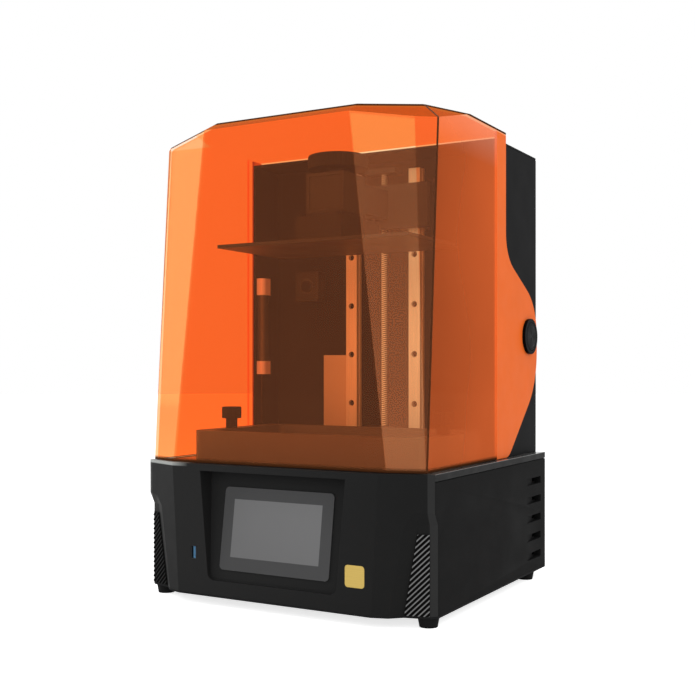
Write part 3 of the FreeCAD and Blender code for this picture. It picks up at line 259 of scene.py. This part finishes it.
def amber_sheet(name, tint, veil_colour, veil, along=None, crown=above_lid, upper=None):
    """Clear tinted acrylic: a tinted see-through sheet, a haze of its dye and a polished surface.
    The haze may change along one axis from its first share to a second, between two places,
    and may turn to an upper colour near the top.
    Its outside is painted dark brown along the foot, and from the crown's height along the top: painted
    shade for the darkening by refraction at the cut edge and, along the foot, for the shadow of the gap
    below it."""
    mat, tree, shader, place = start_finish(name)
    tree.nodes.remove(shader)
    height = axes(tree, place)[2]
    haze = add_node(tree, "ShaderNodeBsdfDiffuse", values={"Color": veil_colour + (1.0,)})
    if upper:
        near_top = span(tree, height, 0.0, 1.0, lid_high[2] - 0.0455, lid_high[2] - 0.0005)
        tree.links.new(blend_colours(tree, near_top, veil_colour, upper), haze.inputs[0])
    amount = veil
    if along:
        axis, second_veil, start, stop = along
        amount = span(tree, axes(tree, place)[axis], veil, second_veil, start, stop)
    uneven = span(tree, noise(tree, place, 6.0, 2.0), 0.92, 1.08)
    share = calculate(tree, "MULTIPLY", uneven, amount)
    body = mix_surfaces(tree, share, see_through(tree, tint), haze.outputs[0])
    gloss_look = {"Color": (0.57, 0.17, 0.057, 1.0), "Roughness": 0.06}
    polish = add_node(tree, "ShaderNodeBsdfGlossy", values=gloss_look)
    slant = add_node(tree, "ShaderNodeFresnel", values={"IOR": 1.40})
    inside = tree.nodes.new("ShaderNodeNewGeometry").outputs["Backfacing"]
    outside = calculate(tree, "SUBTRACT", 1.0, inside)
    shine = calculate(tree, "MULTIPLY", slant.outputs[0], outside)
    skin = mix_surfaces(tree, shine, body, polish.outputs[0])
    # Painted shade: the outside turns dark brown along the foot and from the crown up, for refraction at the
    # cut edge and the shadow of the gap under the foot.
    foot_edge_shade = span(tree, height, 1.0, 0.0, *foot_line)
    crown_edge_shade = span(tree, height, 0.0, 1.0, crown - 0.0003, crown + 0.0003)
    rim = calculate(tree, "MULTIPLY", calculate(tree, "MAXIMUM", foot_edge_shade, crown_edge_shade), outside)
    let_light_in(tree, mix_surfaces(tree, rim, skin, matt(tree, (0.060, 0.020, 0.007))))
    return mat


clear_tint = (1.0, 0.593, 0.338)
amber_veil = (1.0, 0.33, 0.15)
amber = amber_sheet("amber sheet", clear_tint, amber_veil, 0.055)
black = moulded("moulded black", grey_tone(0.017), 0.55, 0.022)
panel_black = powder_coat("panel black", grey_tone(0.0105), 0.60, 0.008)
coat = powder_coat("dark coat", (0.013, 0.013, 0.0134), 0.60, 0.014)
steel = brushed("ground steel", grey_tone(0.72))
alloy = powder_coat("dark anodised", (0.036, 0.036, 0.037), 0.45, 0.06)
mount_alloy = powder_coat("mount anodised", (0.021, 0.021, 0.0215), 0.45, 0.06)
arm_orange = moulded("arm orange", (0.81, 0.144, 0.021), 0.40, 0.03, 0.03)
rubber = moulded("foot rubber", grey_tone(0.010), 0.75, 0.04)
gloss = moulded("gloss black", grey_tone(0.008), 0.18, 0.35, 0.02)
pale = moulded("pale plastic", (0.66, 0.50, 0.42), 0.5, 0.1)
board = moulded("board green", (0.02, 0.13, 0.06), 0.4, 0.3)
grey = moulded("grey plastic", grey_tone(0.11), 0.5, 0.2)
gold = brushed("brushed gold", (0.42, 0.30, 0.085), 0.40, (0.02, 1.0, 1.0))
rail_steel = brushed("rail steel", (0.84, 0.78, 0.74), 0.40, metal=0.25)
vat_alloy = brushed("vat alloy", (0.085, 0.084, 0.082), 0.50, (0.05, 1.0, 1.0), 0.2)

finish_of_slot = {
    "tinted_lid": amber, "hinge_arm": arm_orange, "black_shell": black, "foot_rubber": rubber,
    "rib_plastic": grey, "cover_glass": gloss, "socket_steel": steel, "badge_gold": gold,
    "dark_metal": coat, "bright_steel": steel, "cast_aluminium": alloy, "board_green": board,
    "grey_plastic": grey, "clear_film": pale, "pale_plastic": pale, "gloss_black": gloss,
}
for name, node in nodes.items():
    node.data.materials.clear()
    node.data.materials.append(finish_of_slot[slot_of[name]])


# Finishes of single nodes

def screen_glass():
    """Cover glass: a lighter lit area with a soft slant of light, and a dark printed border around it."""
    mat, tree, shader, place = start_finish("screen glass")
    x, y, z = axes(tree, place)
    wide = within(tree, x, -lit_half_width, lit_half_width)
    tall = within(tree, z, lit_bottom, lit_top)
    slant = calculate(tree, "ADD", z, calculate(tree, "MULTIPLY", x, 0.35))
    sheen = span(tree, slant, 0.0, 1.0, 0.03, 0.14)
    lit = blend_colours(tree, sheen, (0.122, 0.122, 0.124), (0.150, 0.150, 0.152))
    border = blend_colours(tree, noise(tree, place, 12.0), (0.046, 0.046, 0.047), (0.054, 0.054, 0.055))
    face = blend_colours(tree, calculate(tree, "MULTIPLY", wide, tall), border, lit)
    dress(tree, shader, face, span(tree, noise(tree, place, 40.0), 0.16, 0.24), 0.14)
    return mat


def lamp_finish():
    """Strip lamp: dark tube between two pale end caps."""
    mat, tree, shader, place = start_finish("strip lamp")
    height = axes(tree, place)[2]
    tube = within(tree, height, lamp_low[2] + lamp_lower_cap, lamp_high[2] - lamp_upper_cap)
    cap = blend_colours(tree, noise(tree, place, 30.0), (0.82, 0.54, 0.55), (0.92, 0.62, 0.62))
    shade = blend_colours(tree, tube, cap, (0.05, 0.048, 0.045))
    dress(tree, shader, shade, span(tree, tube, 0.5, 0.25, 0.0, 1.0))
    return mat


def socket_finish():
    """Data socket: dark folded shell, lined in blue from a few millimetres in."""
    mat, tree, shader, place = start_finish("data socket")
    start = socket_front + socket_lip
    lining = span(tree, axes(tree, place)[1], 0.0, 1.0, start - 0.0002, start + 0.0002)
    shell = blend_colours(tree, noise(tree, place, 400.0), grey_tone(0.020), grey_tone(0.028))
    tree.links.new(blend_colours(tree, lining, shell, (0.36, 0.68, 0.92)), shader.inputs["Base Color"])
    tree.links.new(span(tree, lining, 0.7, 0.0, 0.0, 1.0), shader.inputs["Metallic"])
    shader.inputs["Roughness"].default_value = 0.45
    return mat


def deck_finish():
    """Deck: coated black, its top face polished and painted lighter as a painted reflection."""
    mat, tree, shader, place = start_finish("deck coat")
    top = span(tree, axes(tree, place)[2], 0.0, 1.0, deck_high[2] - 0.0006, deck_high[2] - 0.0002)
    edge = blend_colours(tree, noise(tree, place, 500.0), grey_tone(0.015), grey_tone(0.019))
    # Painted reflection: the top face is lighter than the edges.
    shade = blend_colours(tree, top, edge, (0.085, 0.083, 0.080))
    dull = span(tree, noise(tree, place, 40.0), 0.45, 0.6)
    polished = calculate(tree, "MULTIPLY", top, 0.42)
    dress(tree, shader, shade, calculate(tree, "SUBTRACT", dull, polished))
    tree.links.new(span(tree, top, 0.035, 0.38, 0.0, 1.0), shader.inputs["Specular IOR Level"])
    return mat


def ribbed(name, offset, crest_light):
    """Slanted ribs: painted pale along the crest of each rib as a painted highlight, and black in the
    grooves between them as painted shade.
    The height across the ribs is z minus x, counted in steps of one pitch from an offset."""
    mat, tree, shader, place = start_finish(name)
    x, y, z = axes(tree, place)
    across = calculate(tree, "SUBTRACT", calculate(tree, "SUBTRACT", z, x), offset)
    step = calculate(tree, "FRACT", calculate(tree, "DIVIDE", across, rib_pitch))
    rise = span(tree, step, 0.0, 1.0, 0.02, 0.10)
    fall = span(tree, step, 1.0, 0.0, 0.33, 0.42)
    crest = calculate(tree, "MULTIPLY", rise, fall)
    bright = blend_colours(tree, noise(tree, place, 90.0), grey_tone(crest_light), grey_tone(crest_light * 1.3))
    # Painted highlight on each crest and painted shade in the grooves.
    shade = blend_colours(tree, crest, grey_tone(0.003), bright)
    dress(tree, shader, shade, span(tree, crest, 0.7, 0.4, 0.0, 1.0), 0.012)
    return mat


def left_arm_finish():
    """Arm: dyed orange like the lid but dense, clear in the strip by the tower's left front corner."""
    mat = arm_orange.copy()
    mat.name = "arm orange left"
    tree = mat.node_tree
    place = tree.nodes.new("ShaderNodeTexCoord").outputs["Object"]
    strip = span(tree, axes(tree, place)[1], 1.0, 0.0, clear_strip_end - 0.0002, clear_strip_end + 0.0002)
    layers = {1: see_through(tree, clear_tint), 2: matt(tree, amber_veil)}
    sheet = add_node(tree, "ShaderNodeMixShader", layers, {0: 0.03})
    show(tree, mix_surfaces(tree, strip, tree.nodes["Principled BSDF"].outputs[0], sheet.outputs[0]))
    return mat


def camera_finish():
    """Small camera: dark grey housing, a black lens and a lighter ring around it."""
    mat, tree, shader, place = start_finish("camera housing")
    x, y, z = axes(tree, place)
    wide = calculate(tree, "SUBTRACT", x, (camera_low[0] + camera_high[0]) / 2)
    tall = calculate(tree, "SUBTRACT", z, (camera_low[2] + camera_high[2]) / 2)
    reach = distance(tree, wide, tall)
    ring = within(tree, reach, 0.0075, 0.0095)
    glass = span(tree, reach, 1.0, 0.0, 0.0072, 0.0076)
    body = blend_colours(tree, noise(tree, place, 200.0), grey_tone(0.030), grey_tone(0.038))
    ringed = blend_colours(tree, ring, body, (0.075, 0.072, 0.068))
    shade = blend_colours(tree, glass, ringed, (0.012, 0.012, 0.013))
    dress(tree, shader, shade, span(tree, glass, 0.5, 0.3, 0.0, 1.0), 0.05)
    return mat


def hub_finish():
    """Hinge cap: polished black with a ring groove and six faint facets about the pivot, each facet painted
    from dark to lighter across it as a painted highlight.
    """
    mat, tree, shader, place = start_finish("hub black")
    x, y, z = axes(tree, place)
    along = calculate(tree, "SUBTRACT", y, pivot_y)
    up = calculate(tree, "SUBTRACT", z, pivot_z)
    reach = distance(tree, along, up)
    turn = calculate(tree, "MULTIPLY", calculate(tree, "ARCTAN2", up, along), 3.0 / math.pi)
    facet = calculate(tree, "PINGPONG", turn, 1.0)
    disc = span(tree, reach, 1.0, 0.0, 0.0128, 0.0134)
    groove = within(tree, reach, 0.0158, 0.0172)
    faceted = calculate(tree, "MULTIPLY", facet, disc)
    # Painted highlight: a ramp from dark to lighter across each facet.
    shade = blend_colours(tree, faceted, grey_tone(0.003), (0.013, 0.013, 0.0135))
    grooved = blend_colours(tree, groove, shade, grey_tone(0.0015))
    dress(tree, shader, grooved, span(tree, groove, 0.22, 0.6, 0.0, 1.0), 0.01)
    raised = calculate(tree, "MULTIPLY", faceted, 0.4)
    relief(tree, shader, calculate(tree, "SUBTRACT", raised, groove), 0.5, 0.0008)
    return mat


def bezel_finish():
    """Front shell: moulded black, painted darker to the right as painted shade, painted lighter on its
    narrow flanks as painted light, and painted bright along the rim of the left corner as a painted
    highlight."""
    mat, tree, shader, place = start_finish("bezel black")
    x, y, z = axes(tree, place)
    half_width, top = bezel_high[0], bezel_high[2]
    mottled = blend_colours(tree, noise(tree, place, 9.0, 4.0), grey_tone(0.0155), grey_tone(0.0175))
    # Painted shade: darker towards the right.
    shade = blend_colours(tree, span(tree, x, 0.0, 1.0, -0.06, 0.15), mottled, grey_tone(0.0115))
    # Painted light: the narrow flanks are lighter.
    sideways = calculate(tree, "ABSOLUTE", x)
    flank = span(tree, sideways, 0.0, 1.0, half_width - 0.0062, half_width - 0.0056)
    flanked = blend_colours(tree, flank, shade, grey_tone(0.027))
    # Painted highlight along the top rim of the left corner.
    upper = span(tree, z, 0.0, 1.0, top - 0.0034, top - 0.0024)
    rim = calculate(tree, "MULTIPLY", upper, span(tree, x, 1.0, 0.0, -0.128, -0.105))
    rim_highlighted = blend_colours(tree, rim, flanked, (0.30, 0.31, 0.30))
    dress(tree, shader, rim_highlighted, span(tree, noise(tree, place, 60.0), 0.48, 0.58), 0.025)
    relief(tree, shader, noise(tree, place, 1500.0, 2.0), 0.06)
    return mat


def screw_finish():
    """Screw steel: painted bright along the crests of the thread as a painted highlight and dark in its
    grooves as painted shade.
    The thread is the height in pitches less twice the turn about the axis."""
    mat, tree, shader, place = start_finish("screw steel")
    x, y, z = axes(tree, place)
    angle = calculate(tree, "ARCTAN2", calculate(tree, "SUBTRACT", y, screw_y), x)
    turns = calculate(tree, "DIVIDE", angle, math.pi)
    rise = calculate(tree, "SUBTRACT", calculate(tree, "DIVIDE", z, screw_pitch), turns)
    wave = calculate(tree, "PINGPONG", calculate(tree, "MULTIPLY", rise, 2.0), 1.0)
    groove = span(tree, wave, 0.0, 1.0, 0.45, 0.65)
    # Painted highlight on the thread crests and painted shade in its grooves.
    shade = blend_colours(tree, groove, (0.78, 0.73, 0.66), (0.03, 0.028, 0.026))
    dress(tree, shader, shade, span(tree, groove, 0.3, 0.5, 0.0, 1.0))
    shader.inputs["Metallic"].default_value = 0.4
    return mat


def finish_node(mat, *names):
    """Gives nodes a finish of their own."""
    for name in names:
        nodes[name].data.materials[0] = mat


finish_node(screen_glass(), "touch_panel")
finish_node(lamp_finish(), "chamber_lamp")
finish_node(socket_finish(), "usb_port")
finish_node(rail_steel, "linear_rails")
finish_node(vat_alloy, "vat_frame")
finish_node(mount_alloy, "platform_mount")
finish_node(bezel_finish(), "front_bezel")
finish_node(panel_black, "left_side_panel", "right_side_panel")
finish_node(camera_finish(), "camera")
finish_node(hub_finish(), "hinge_hubs")
finish_node(deck_finish(), "top_deck")
# Painted light: the same ribs get a lit crest tone on the right and a shaded one on the left.
finish_node(ribbed("left ribs", 0.1563, 0.018), "left_corner_grille")
finish_node(ribbed("right ribs", -0.1685, 0.15), "right_corner_grille")
finish_node(left_arm_finish(), "lid_arm_left")
finish_node(coat, "levelling_screws")


# Pieces that stand for CAD nodes

def stand_in(name, piece):
    """A piece takes a node's place, on its body."""
    bpy.context.scene.collection.objects.link(piece)
    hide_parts(name)
    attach(piece, body_of[name])


def joined_copy(name):
    """A copy of a node's mesh with its corners merged and its flat faces made whole."""
    source = nodes[name].data
    points = np.empty(3 * len(source.vertices))
    corners = np.empty(len(source.loops), dtype=int)
    source.vertices.foreach_get("co", points)
    source.loops.foreach_get("vertex_index", corners)
    grid = np.round(points.reshape(-1, 3), 7)
    spots, where = np.unique(grid, axis=0, return_inverse=True)
    faces = where.reshape(-1)[corners].reshape(-1, 3)
    mesh = bpy.data.meshes.new(name + "_joined")
    mesh.from_pydata(spots.tolist(), [], faces.tolist())
    shape = bmesh.new()
    shape.from_mesh(mesh)
    bmesh.ops.dissolve_limit(shape, angle_limit=math.radians(0.5), verts=shape.verts, edges=shape.edges)
    shape.to_mesh(mesh)
    shape.free()
    return mesh


def smooth_faces(mesh, angle):
    """Smooth shading, broken at edges that turn more than an angle."""
    mesh.polygons.foreach_set("use_smooth", np.ones(len(mesh.polygons), dtype=bool))
    mesh.set_sharp_from_angle(angle=math.radians(angle))


def round_edges(piece, width, segments, angle):
    """Bevel on the edges that turn more than an angle, smooth across, flat faces kept flat."""
    bevel = piece.modifiers.new("round", "BEVEL")
    bevel.width = width
    bevel.segments = segments
    bevel.limit_method = "ANGLE"
    bevel.angle_limit = math.radians(angle)
    bevel.harden_normals = True
    smooth_faces(piece.data, angle)
    return bevel


def softened(name, width, angle=20.0):
    """A node with its sharp edges rounded off, in its own finish."""
    mesh = joined_copy(name)
    mesh.materials.append(nodes[name].data.materials[0])
    piece = bpy.data.objects.new(name + "_soft", mesh)
    stand_in(name, piece)
    round_edges(piece, width, 2, angle)


def edge_finish():
    """Cut edge of the sheet: painted dark brown from outside as painted shade for the darkening by
    refraction, clear where it is seen from within.
    """
    mat, tree, shader, place = start_finish("amber edge")
    # Painted shade: the dark brown of the bevelled cut edge.
    brown = blend_colours(tree, noise(tree, place, 30.0), (0.060, 0.019, 0.007), (0.078, 0.025, 0.009))
    tree.links.new(brown, shader.inputs["Base Color"])
    shader.inputs["Roughness"].default_value = 0.5
    shader.inputs["Specular IOR Level"].default_value = 0.02
    inside = tree.nodes.new("ShaderNodeNewGeometry").outputs["Backfacing"]
    show(tree, mix_surfaces(tree, inside, shader.outputs[0], see_through(tree, clear_tint)))
    return mat


def lid_finishes():
    """A finish for each kind of pane, in the order of the lid's slots."""
    top = lid_high[2]
    facet_tint = (1.0, 0.84, 0.62)
    side_tint, side_veil, side_upper = (1.0, 0.84, 0.74), (1.0, 0.165, 0.037), (1.0, 0.36, 0.24)
    thinner_upwards = (2, 0.13, 0.22, 0.42)
    thicker_backwards = (1, 0.54, -0.12, 0.03)
    panes = {"sheet": amber}
    panes["facet"] = amber_sheet("amber facet", facet_tint, (1.0, 0.30, 0.12), 0.21, thinner_upwards)
    panes["facet inside"] = clear_sheet("amber facet inside", facet_tint)
    panes["slope"] = amber_sheet("amber slope", (0.42, 0.16, 0.03), (0.9, 0.14, 0.01), 0.25,
                                 crown=top - 0.0033)
    panes["left facet"] = amber_sheet("amber left facet", (1.0, 0.95, 0.88), (1.0, 0.42, 0.15), 0.14,
                                      crown=top - 0.0027)
    panes["slim facet"] = amber_sheet("amber slim facet", clear_tint, amber_veil, 0.09)
    panes["side"] = amber_sheet("amber side", side_tint, side_veil, 0.36, thicker_backwards,
                                top - 0.0022, side_upper)
    panes["edge"] = edge_finish()
    panes["inside"] = clear_sheet("amber inside", clear_tint)
    panes["left facet inside"] = clear_sheet("amber left facet inside", (1.0, 0.84, 0.73))
    return panes


def mark_rims(mesh):
    """Bevel weight on the lid's outer edges beside its side walls, along its foot and up two of its slopes.
    The slopes rise from the shoulder, where the walls end, to the roof."""
    shoulder = (lid_high[2] - 0.0255, lid_high[2] - 0.0155)
    roof_edge = lid_high[2] - 0.0005
    seam_y = 0.029
    shape = bmesh.new()
    shape.from_mesh(mesh)
    weight = shape.edges.layers.float.new("bevel_weight_edge")
    for edge in shape.edges:
        low, high = sorted([corner.co for corner in edge.verts], key=lambda spot: spot.z)
        rises = shoulder[0] < low.z < shoulder[1]
        crest = rises and low.x > 0.16 and high.z > roof_edge and high.x < 0.15
        brow = rises and low.x < -0.14 and -0.10 < high.x < -0.08 and high.z < 0.51
        if crest or brow:
            edge[weight] = 0.8
        if edge.calc_face_angle(0.0) <= 0.2:
            continue
        at_seam = min(low.y, high.y) > seam_y
        at_roof = max(face.normal.z for face in edge.link_faces) > 0.2
        for face in edge.link_faces:
            middle = face.calc_center_median()
            outward = face.normal.x if middle.x > 0 else -face.normal.x
            if outward > 0.9 and not at_seam and not at_roof:
                edge[weight] = 1.0
            if face.normal.z < -0.95 and middle.z < lid_low[2] + 0.0016:
                edge[weight] = 0.6
    shape.to_mesh(mesh)
    shape.free()


def make_lid():
    """The lid with a finish for each of its walls. A wall is told by its outward direction,
    and a face lies outside where that direction leads away from the middle of the lid."""
    mesh = joined_copy("lid_shell")
    way = np.empty(3 * len(mesh.polygons))
    spot = np.empty(3 * len(mesh.polygons))
    mesh.polygons.foreach_get("normal", way)
    mesh.polygons.foreach_get("center", spot)
    way = way.reshape(-1, 3)
    spot = spot.reshape(-1, 3)
    middle = np.array([0.0, -0.05, 0.33])
    outer = np.sum(way * (spot - middle), 1) > 0
    way = np.where(outer[:, None], way, -way)
    right = spot[:, 0] > 0
    roof = way[:, 2] > 0.2
    slope = roof & (way[:, 2] < 0.95) & outer
    left_slope = slope & (way[:, 0] < -0.1)
    front = way[:, 1] < -0.98
    wide = (way[:, 1] < -0.85) & ~front & ~roof
    slim = (way[:, 1] < -0.5) & ~front & ~roof & ~wide
    side = (np.abs(way[:, 0]) > 0.9) & ~roof
    edge = ~(roof | front | wide | slim | side)
    under = edge & (way[:, 2] < -0.5) & (spot[:, 0] > -0.15)
    choices = [(under, "edge"), (edge, "inside"), (left_slope, "left facet"), (slope, "slope")]
    choices += [(wide & right & outer, "facet"), (wide & right, "facet inside")]
    choices += [(wide & outer, "left facet"), (wide, "left facet inside")]
    choices += [(slim & outer, "slim facet"), (side & right & outer, "side"), (outer, "sheet")]
    panes = lid_finishes()
    slots = list(panes)
    masks = [mask for mask, pane in choices]
    picks = [slots.index(pane) for mask, pane in choices]
    finish = np.select(masks, picks, slots.index("inside"))
    mesh.polygons.foreach_set("material_index", finish.astype(np.int32))
    mark_rims(mesh)
    for mat in panes.values():
        mesh.materials.append(mat)
    piece = bpy.data.objects.new("lid_sheet", mesh)
    stand_in("lid_shell", piece)
    bevel = round_edges(piece, 0.0015, 1, 12.0)
    bevel.limit_method = "WEIGHT"
    bevel.material = slots.index("edge")
    bevel.use_clamp_overlap = False


def ring_surface(name, centre, radius, height):
    """Surface about a vertical axis. The radius is given on a grid of rows and turns, each row at its
    own height: x and y are the centre plus radius times cosine and sine. Flat caps close both ends."""
    rows, around = radius.shape
    turn = 2.0 * math.pi * np.arange(around) / around
    spots = np.empty((rows, around, 3))
    spots[:, :, 0] = centre[0] + radius * np.cos(turn)
    spots[:, :, 1] = centre[1] + radius * np.sin(turn)
    spots[:, :, 2] = height[:, None]
    here = np.arange((rows - 1) * around).reshape(rows - 1, around)
    beside = np.roll(here, -1, axis=1)
    quads = np.stack([here, beside, beside + around, here + around], -1).reshape(-1, 4)
    caps = [list(range(around))[::-1], list(range((rows - 1) * around, rows * around))]
    mesh = bpy.data.meshes.new(name)
    mesh.from_pydata(spots.reshape(-1, 3).tolist(), [], quads.tolist() + caps)
    smooth_faces(mesh, 32.0)
    return bpy.data.objects.new(name, mesh)


def knurled(name, node, centre, profile, grip, teeth, depth):
    """A turned knob in millimetres, in the dark coat: a profile of radius and height, with notches of
    a cosine wave around it wherever the radius reaches the grip."""
    outline = np.array(profile) / 1000.0
    around = 4 * teeth
    turn = 2.0 * math.pi * np.arange(around) / around
    notch = 0.5 + 0.5 * np.cos(teeth * turn)
    held = (outline[:, 0] >= grip / 1000.0) * depth / 1000.0
    radius = outline[:, :1] - held[:, None] * notch
    piece = ring_surface(name, centre, radius, outline[:, 1])
    piece.data.materials.append(coat)
    stand_in(node, piece)


def threaded_screw():
    """Drive screw with its coupling, in millimetres: the thread's radius falls off as a triangle wave
    of the height in pitches less the turn, two starts side by side."""
    shaft_foot, coupling_foot, coupling_top, screw_top = 103.0, 117.0, 137.0, 492.0
    shaft_radius, coupling_radius, thread_radius, thread_depth = 3.2, 11.0, 4.0, 0.55
    below = [shaft_foot, coupling_foot, coupling_foot, coupling_top, coupling_top]
    height = np.concatenate([below, np.arange(coupling_top + 0.3, screw_top, 0.42), [screw_top]])
    core = np.full(len(height), thread_radius)
    core[:2] = shaft_radius
    core[2:4] = coupling_radius
    turn = np.arange(20) / 20.0
    wave = 2.0 * np.abs((height[:, None] / (1000.0 * screw_pitch) - 2.0 * turn) % 1.0 - 0.5)
    cut = np.where((height > coupling_top) & (height < screw_top - 0.5), thread_depth, 0.0)
    radius = (core[:, None] - cut[:, None] * wave) / 1000.0
    piece = ring_surface("threaded_screw", (screw_x, screw_y), radius, height / 1000.0)
    piece.data.materials.append(screw_finish())
    stand_in("drive_screw", piece)


make_lid()
threaded_screw()
knob_rows = [(5, 440), (5, 468.3), (13.4, 468.3), (14, 468.9), (14, 474.5), (32.4, 474.5), (33.6, 475.0),
             (34, 476.2), (34, 488.4), (33.4, 489.6), (32.2, 490), (26, 490), (25.4, 489.5), (1, 489.5)]
knurled("clamp_knob_knurled", "platform_knob", joint_place["clamp_turn"], knob_rows, 33.9, 72, 0.5)
thumb_rows = [(3, 142), (3, 180.3), (6.4, 180.3), (6.8, 180.7), (6.8, 191.6), (10.9, 191.6), (11.5, 192.2),
              (11.5, 204.2), (10.7, 205), (1, 205)]
for side in ("left", "right"):
    thumb_centre = joint_place[side + "_thumb_turn"]
    knurled(side + "_thumb_knurled", side + "_vat_thumbscrew", thumb_centre, thumb_rows, 11.4, 30, 0.7)
for name in ("front_bezel", "left_side_panel", "right_side_panel", "top_deck", "tower_shell", "tower_cap"):
    softened(name, 0.0008, 14.0)
for name in ("touch_panel", "badge_plate", "usb_port"):
    softened(name, 0.0004)
for name in ("platform_mount", "platform_arm", "carriage_plate", "build_plate", "vat_frame", "service_cover",
             "camera", "lid_arm_left", "lid_arm_right"):
    softened(name, 0.0006)


# Stage: floor, light and camera

def light_panel(name, place, target, size, power):
    """Soft white rectangular lamp aimed at a point."""
    lamp = bpy.data.lights.new(name, "AREA")
    lamp.shape = "RECTANGLE"
    lamp.size, lamp.size_y = size
    lamp.energy = power
    holder = bpy.data.objects.new(name, lamp)
    bpy.context.scene.collection.objects.link(holder)
    aim = np.array(target) - np.array(place)
    flat = math.hypot(aim[0], aim[1])
    holder.location = place
    holder.rotation_euler = (math.atan2(flat, -aim[2]), 0.0, math.atan2(-aim[0], aim[1]))


def seen_white(tree):
    """1 for rays that come from the camera, through clear glass or off a gloss."""
    path = tree.nodes.new("ShaderNodeLightPath").outputs
    clear = calculate(tree, "MAXIMUM", path["Is Camera Ray"], path["Is Transmission Ray"])
    return calculate(tree, "MAXIMUM", clear, path["Is Glossy Ray"])


def make_world(level):
    """Even white surroundings: a plain level as light, white where they are seen."""
    world = bpy.data.worlds.new("studio")
    bpy.context.scene.world = world
    world.use_nodes = True
    tree = world.node_tree
    tree.nodes.clear()
    paper = grey_tone(1.0) + (1.0,)
    fill = add_node(tree, "ShaderNodeBackground", values={"Color": paper, "Strength": level})
    white = add_node(tree, "ShaderNodeBackground", values={"Color": paper, "Strength": 1.0})
    seen = mix_surfaces(tree, seen_white(tree), fill.outputs[0], white.outputs[0])
    out = tree.nodes.new("ShaderNodeOutputWorld")
    tree.links.new(seen, out.inputs["Surface"])


def make_floor(reach, lift):
    """Round pale floor. What the camera sees of it is lifted to white, and shadows stay."""
    around = 96
    turn = 2.0 * math.pi * np.arange(around) / around
    ring = np.stack([reach * np.cos(turn), reach * np.sin(turn), np.zeros(around)], 1)
    mesh = bpy.data.meshes.new("floor")
    mesh.from_pydata(ring.tolist(), [], [list(range(around))])
    floor = bpy.data.objects.new("floor", mesh)
    bpy.context.scene.collection.objects.link(floor)
    mat, tree, shader, place = start_finish("pale floor")
    tree.nodes.remove(shader)
    brightness = calculate(tree, "MULTIPLY", seen_white(tree), lift)
    glow = add_node(tree, "ShaderNodeEmission", {"Strength": brightness})
    both = add_node(tree, "ShaderNodeAddShader", {0: matt(tree, grey_tone(0.82)), 1: glow.outputs[0]})
    show(tree, both.outputs[0])
    mesh.materials.append(mat)


def make_camera():
    """Level camera at the photograph's place, with the horizon a little below the middle."""
    data = bpy.data.cameras.new("camera")
    data.sensor_width = 36.0
    data.lens = 54.70
    data.shift_y = 0.0287
    holder = bpy.data.objects.new("camera", data)
    holder.location = (0.6008, -1.0641, 0.2514)
    holder.rotation_euler = (math.pi / 2, 0.0, math.radians(29.6456))
    bpy.context.scene.collection.objects.link(holder)
    bpy.context.scene.camera = holder


make_world(0.55)
make_floor(9.0, 0.74)
light_panel("left panel", (-1.9, -0.6, 0.8), (0.0, 0.0, 0.25), (0.9, 1.2), 20.0)
light_panel("right panel", (1.6, 0.3, 1.2), (0.0, 0.0, 0.3), (1.0, 1.0), 10.0)
light_panel("front panel", (0.45, -2.1, 0.8), (0.0, 0.0, 0.25), (1.7, 1.5), 15.0)
light_panel("top panel", (0.0, -0.2, 1.9), (0.0, 0.0, 0.4), (1.4, 1.4), 12.0)
make_camera()
bpy.context.scene.view_settings.view_transform = "Standard"
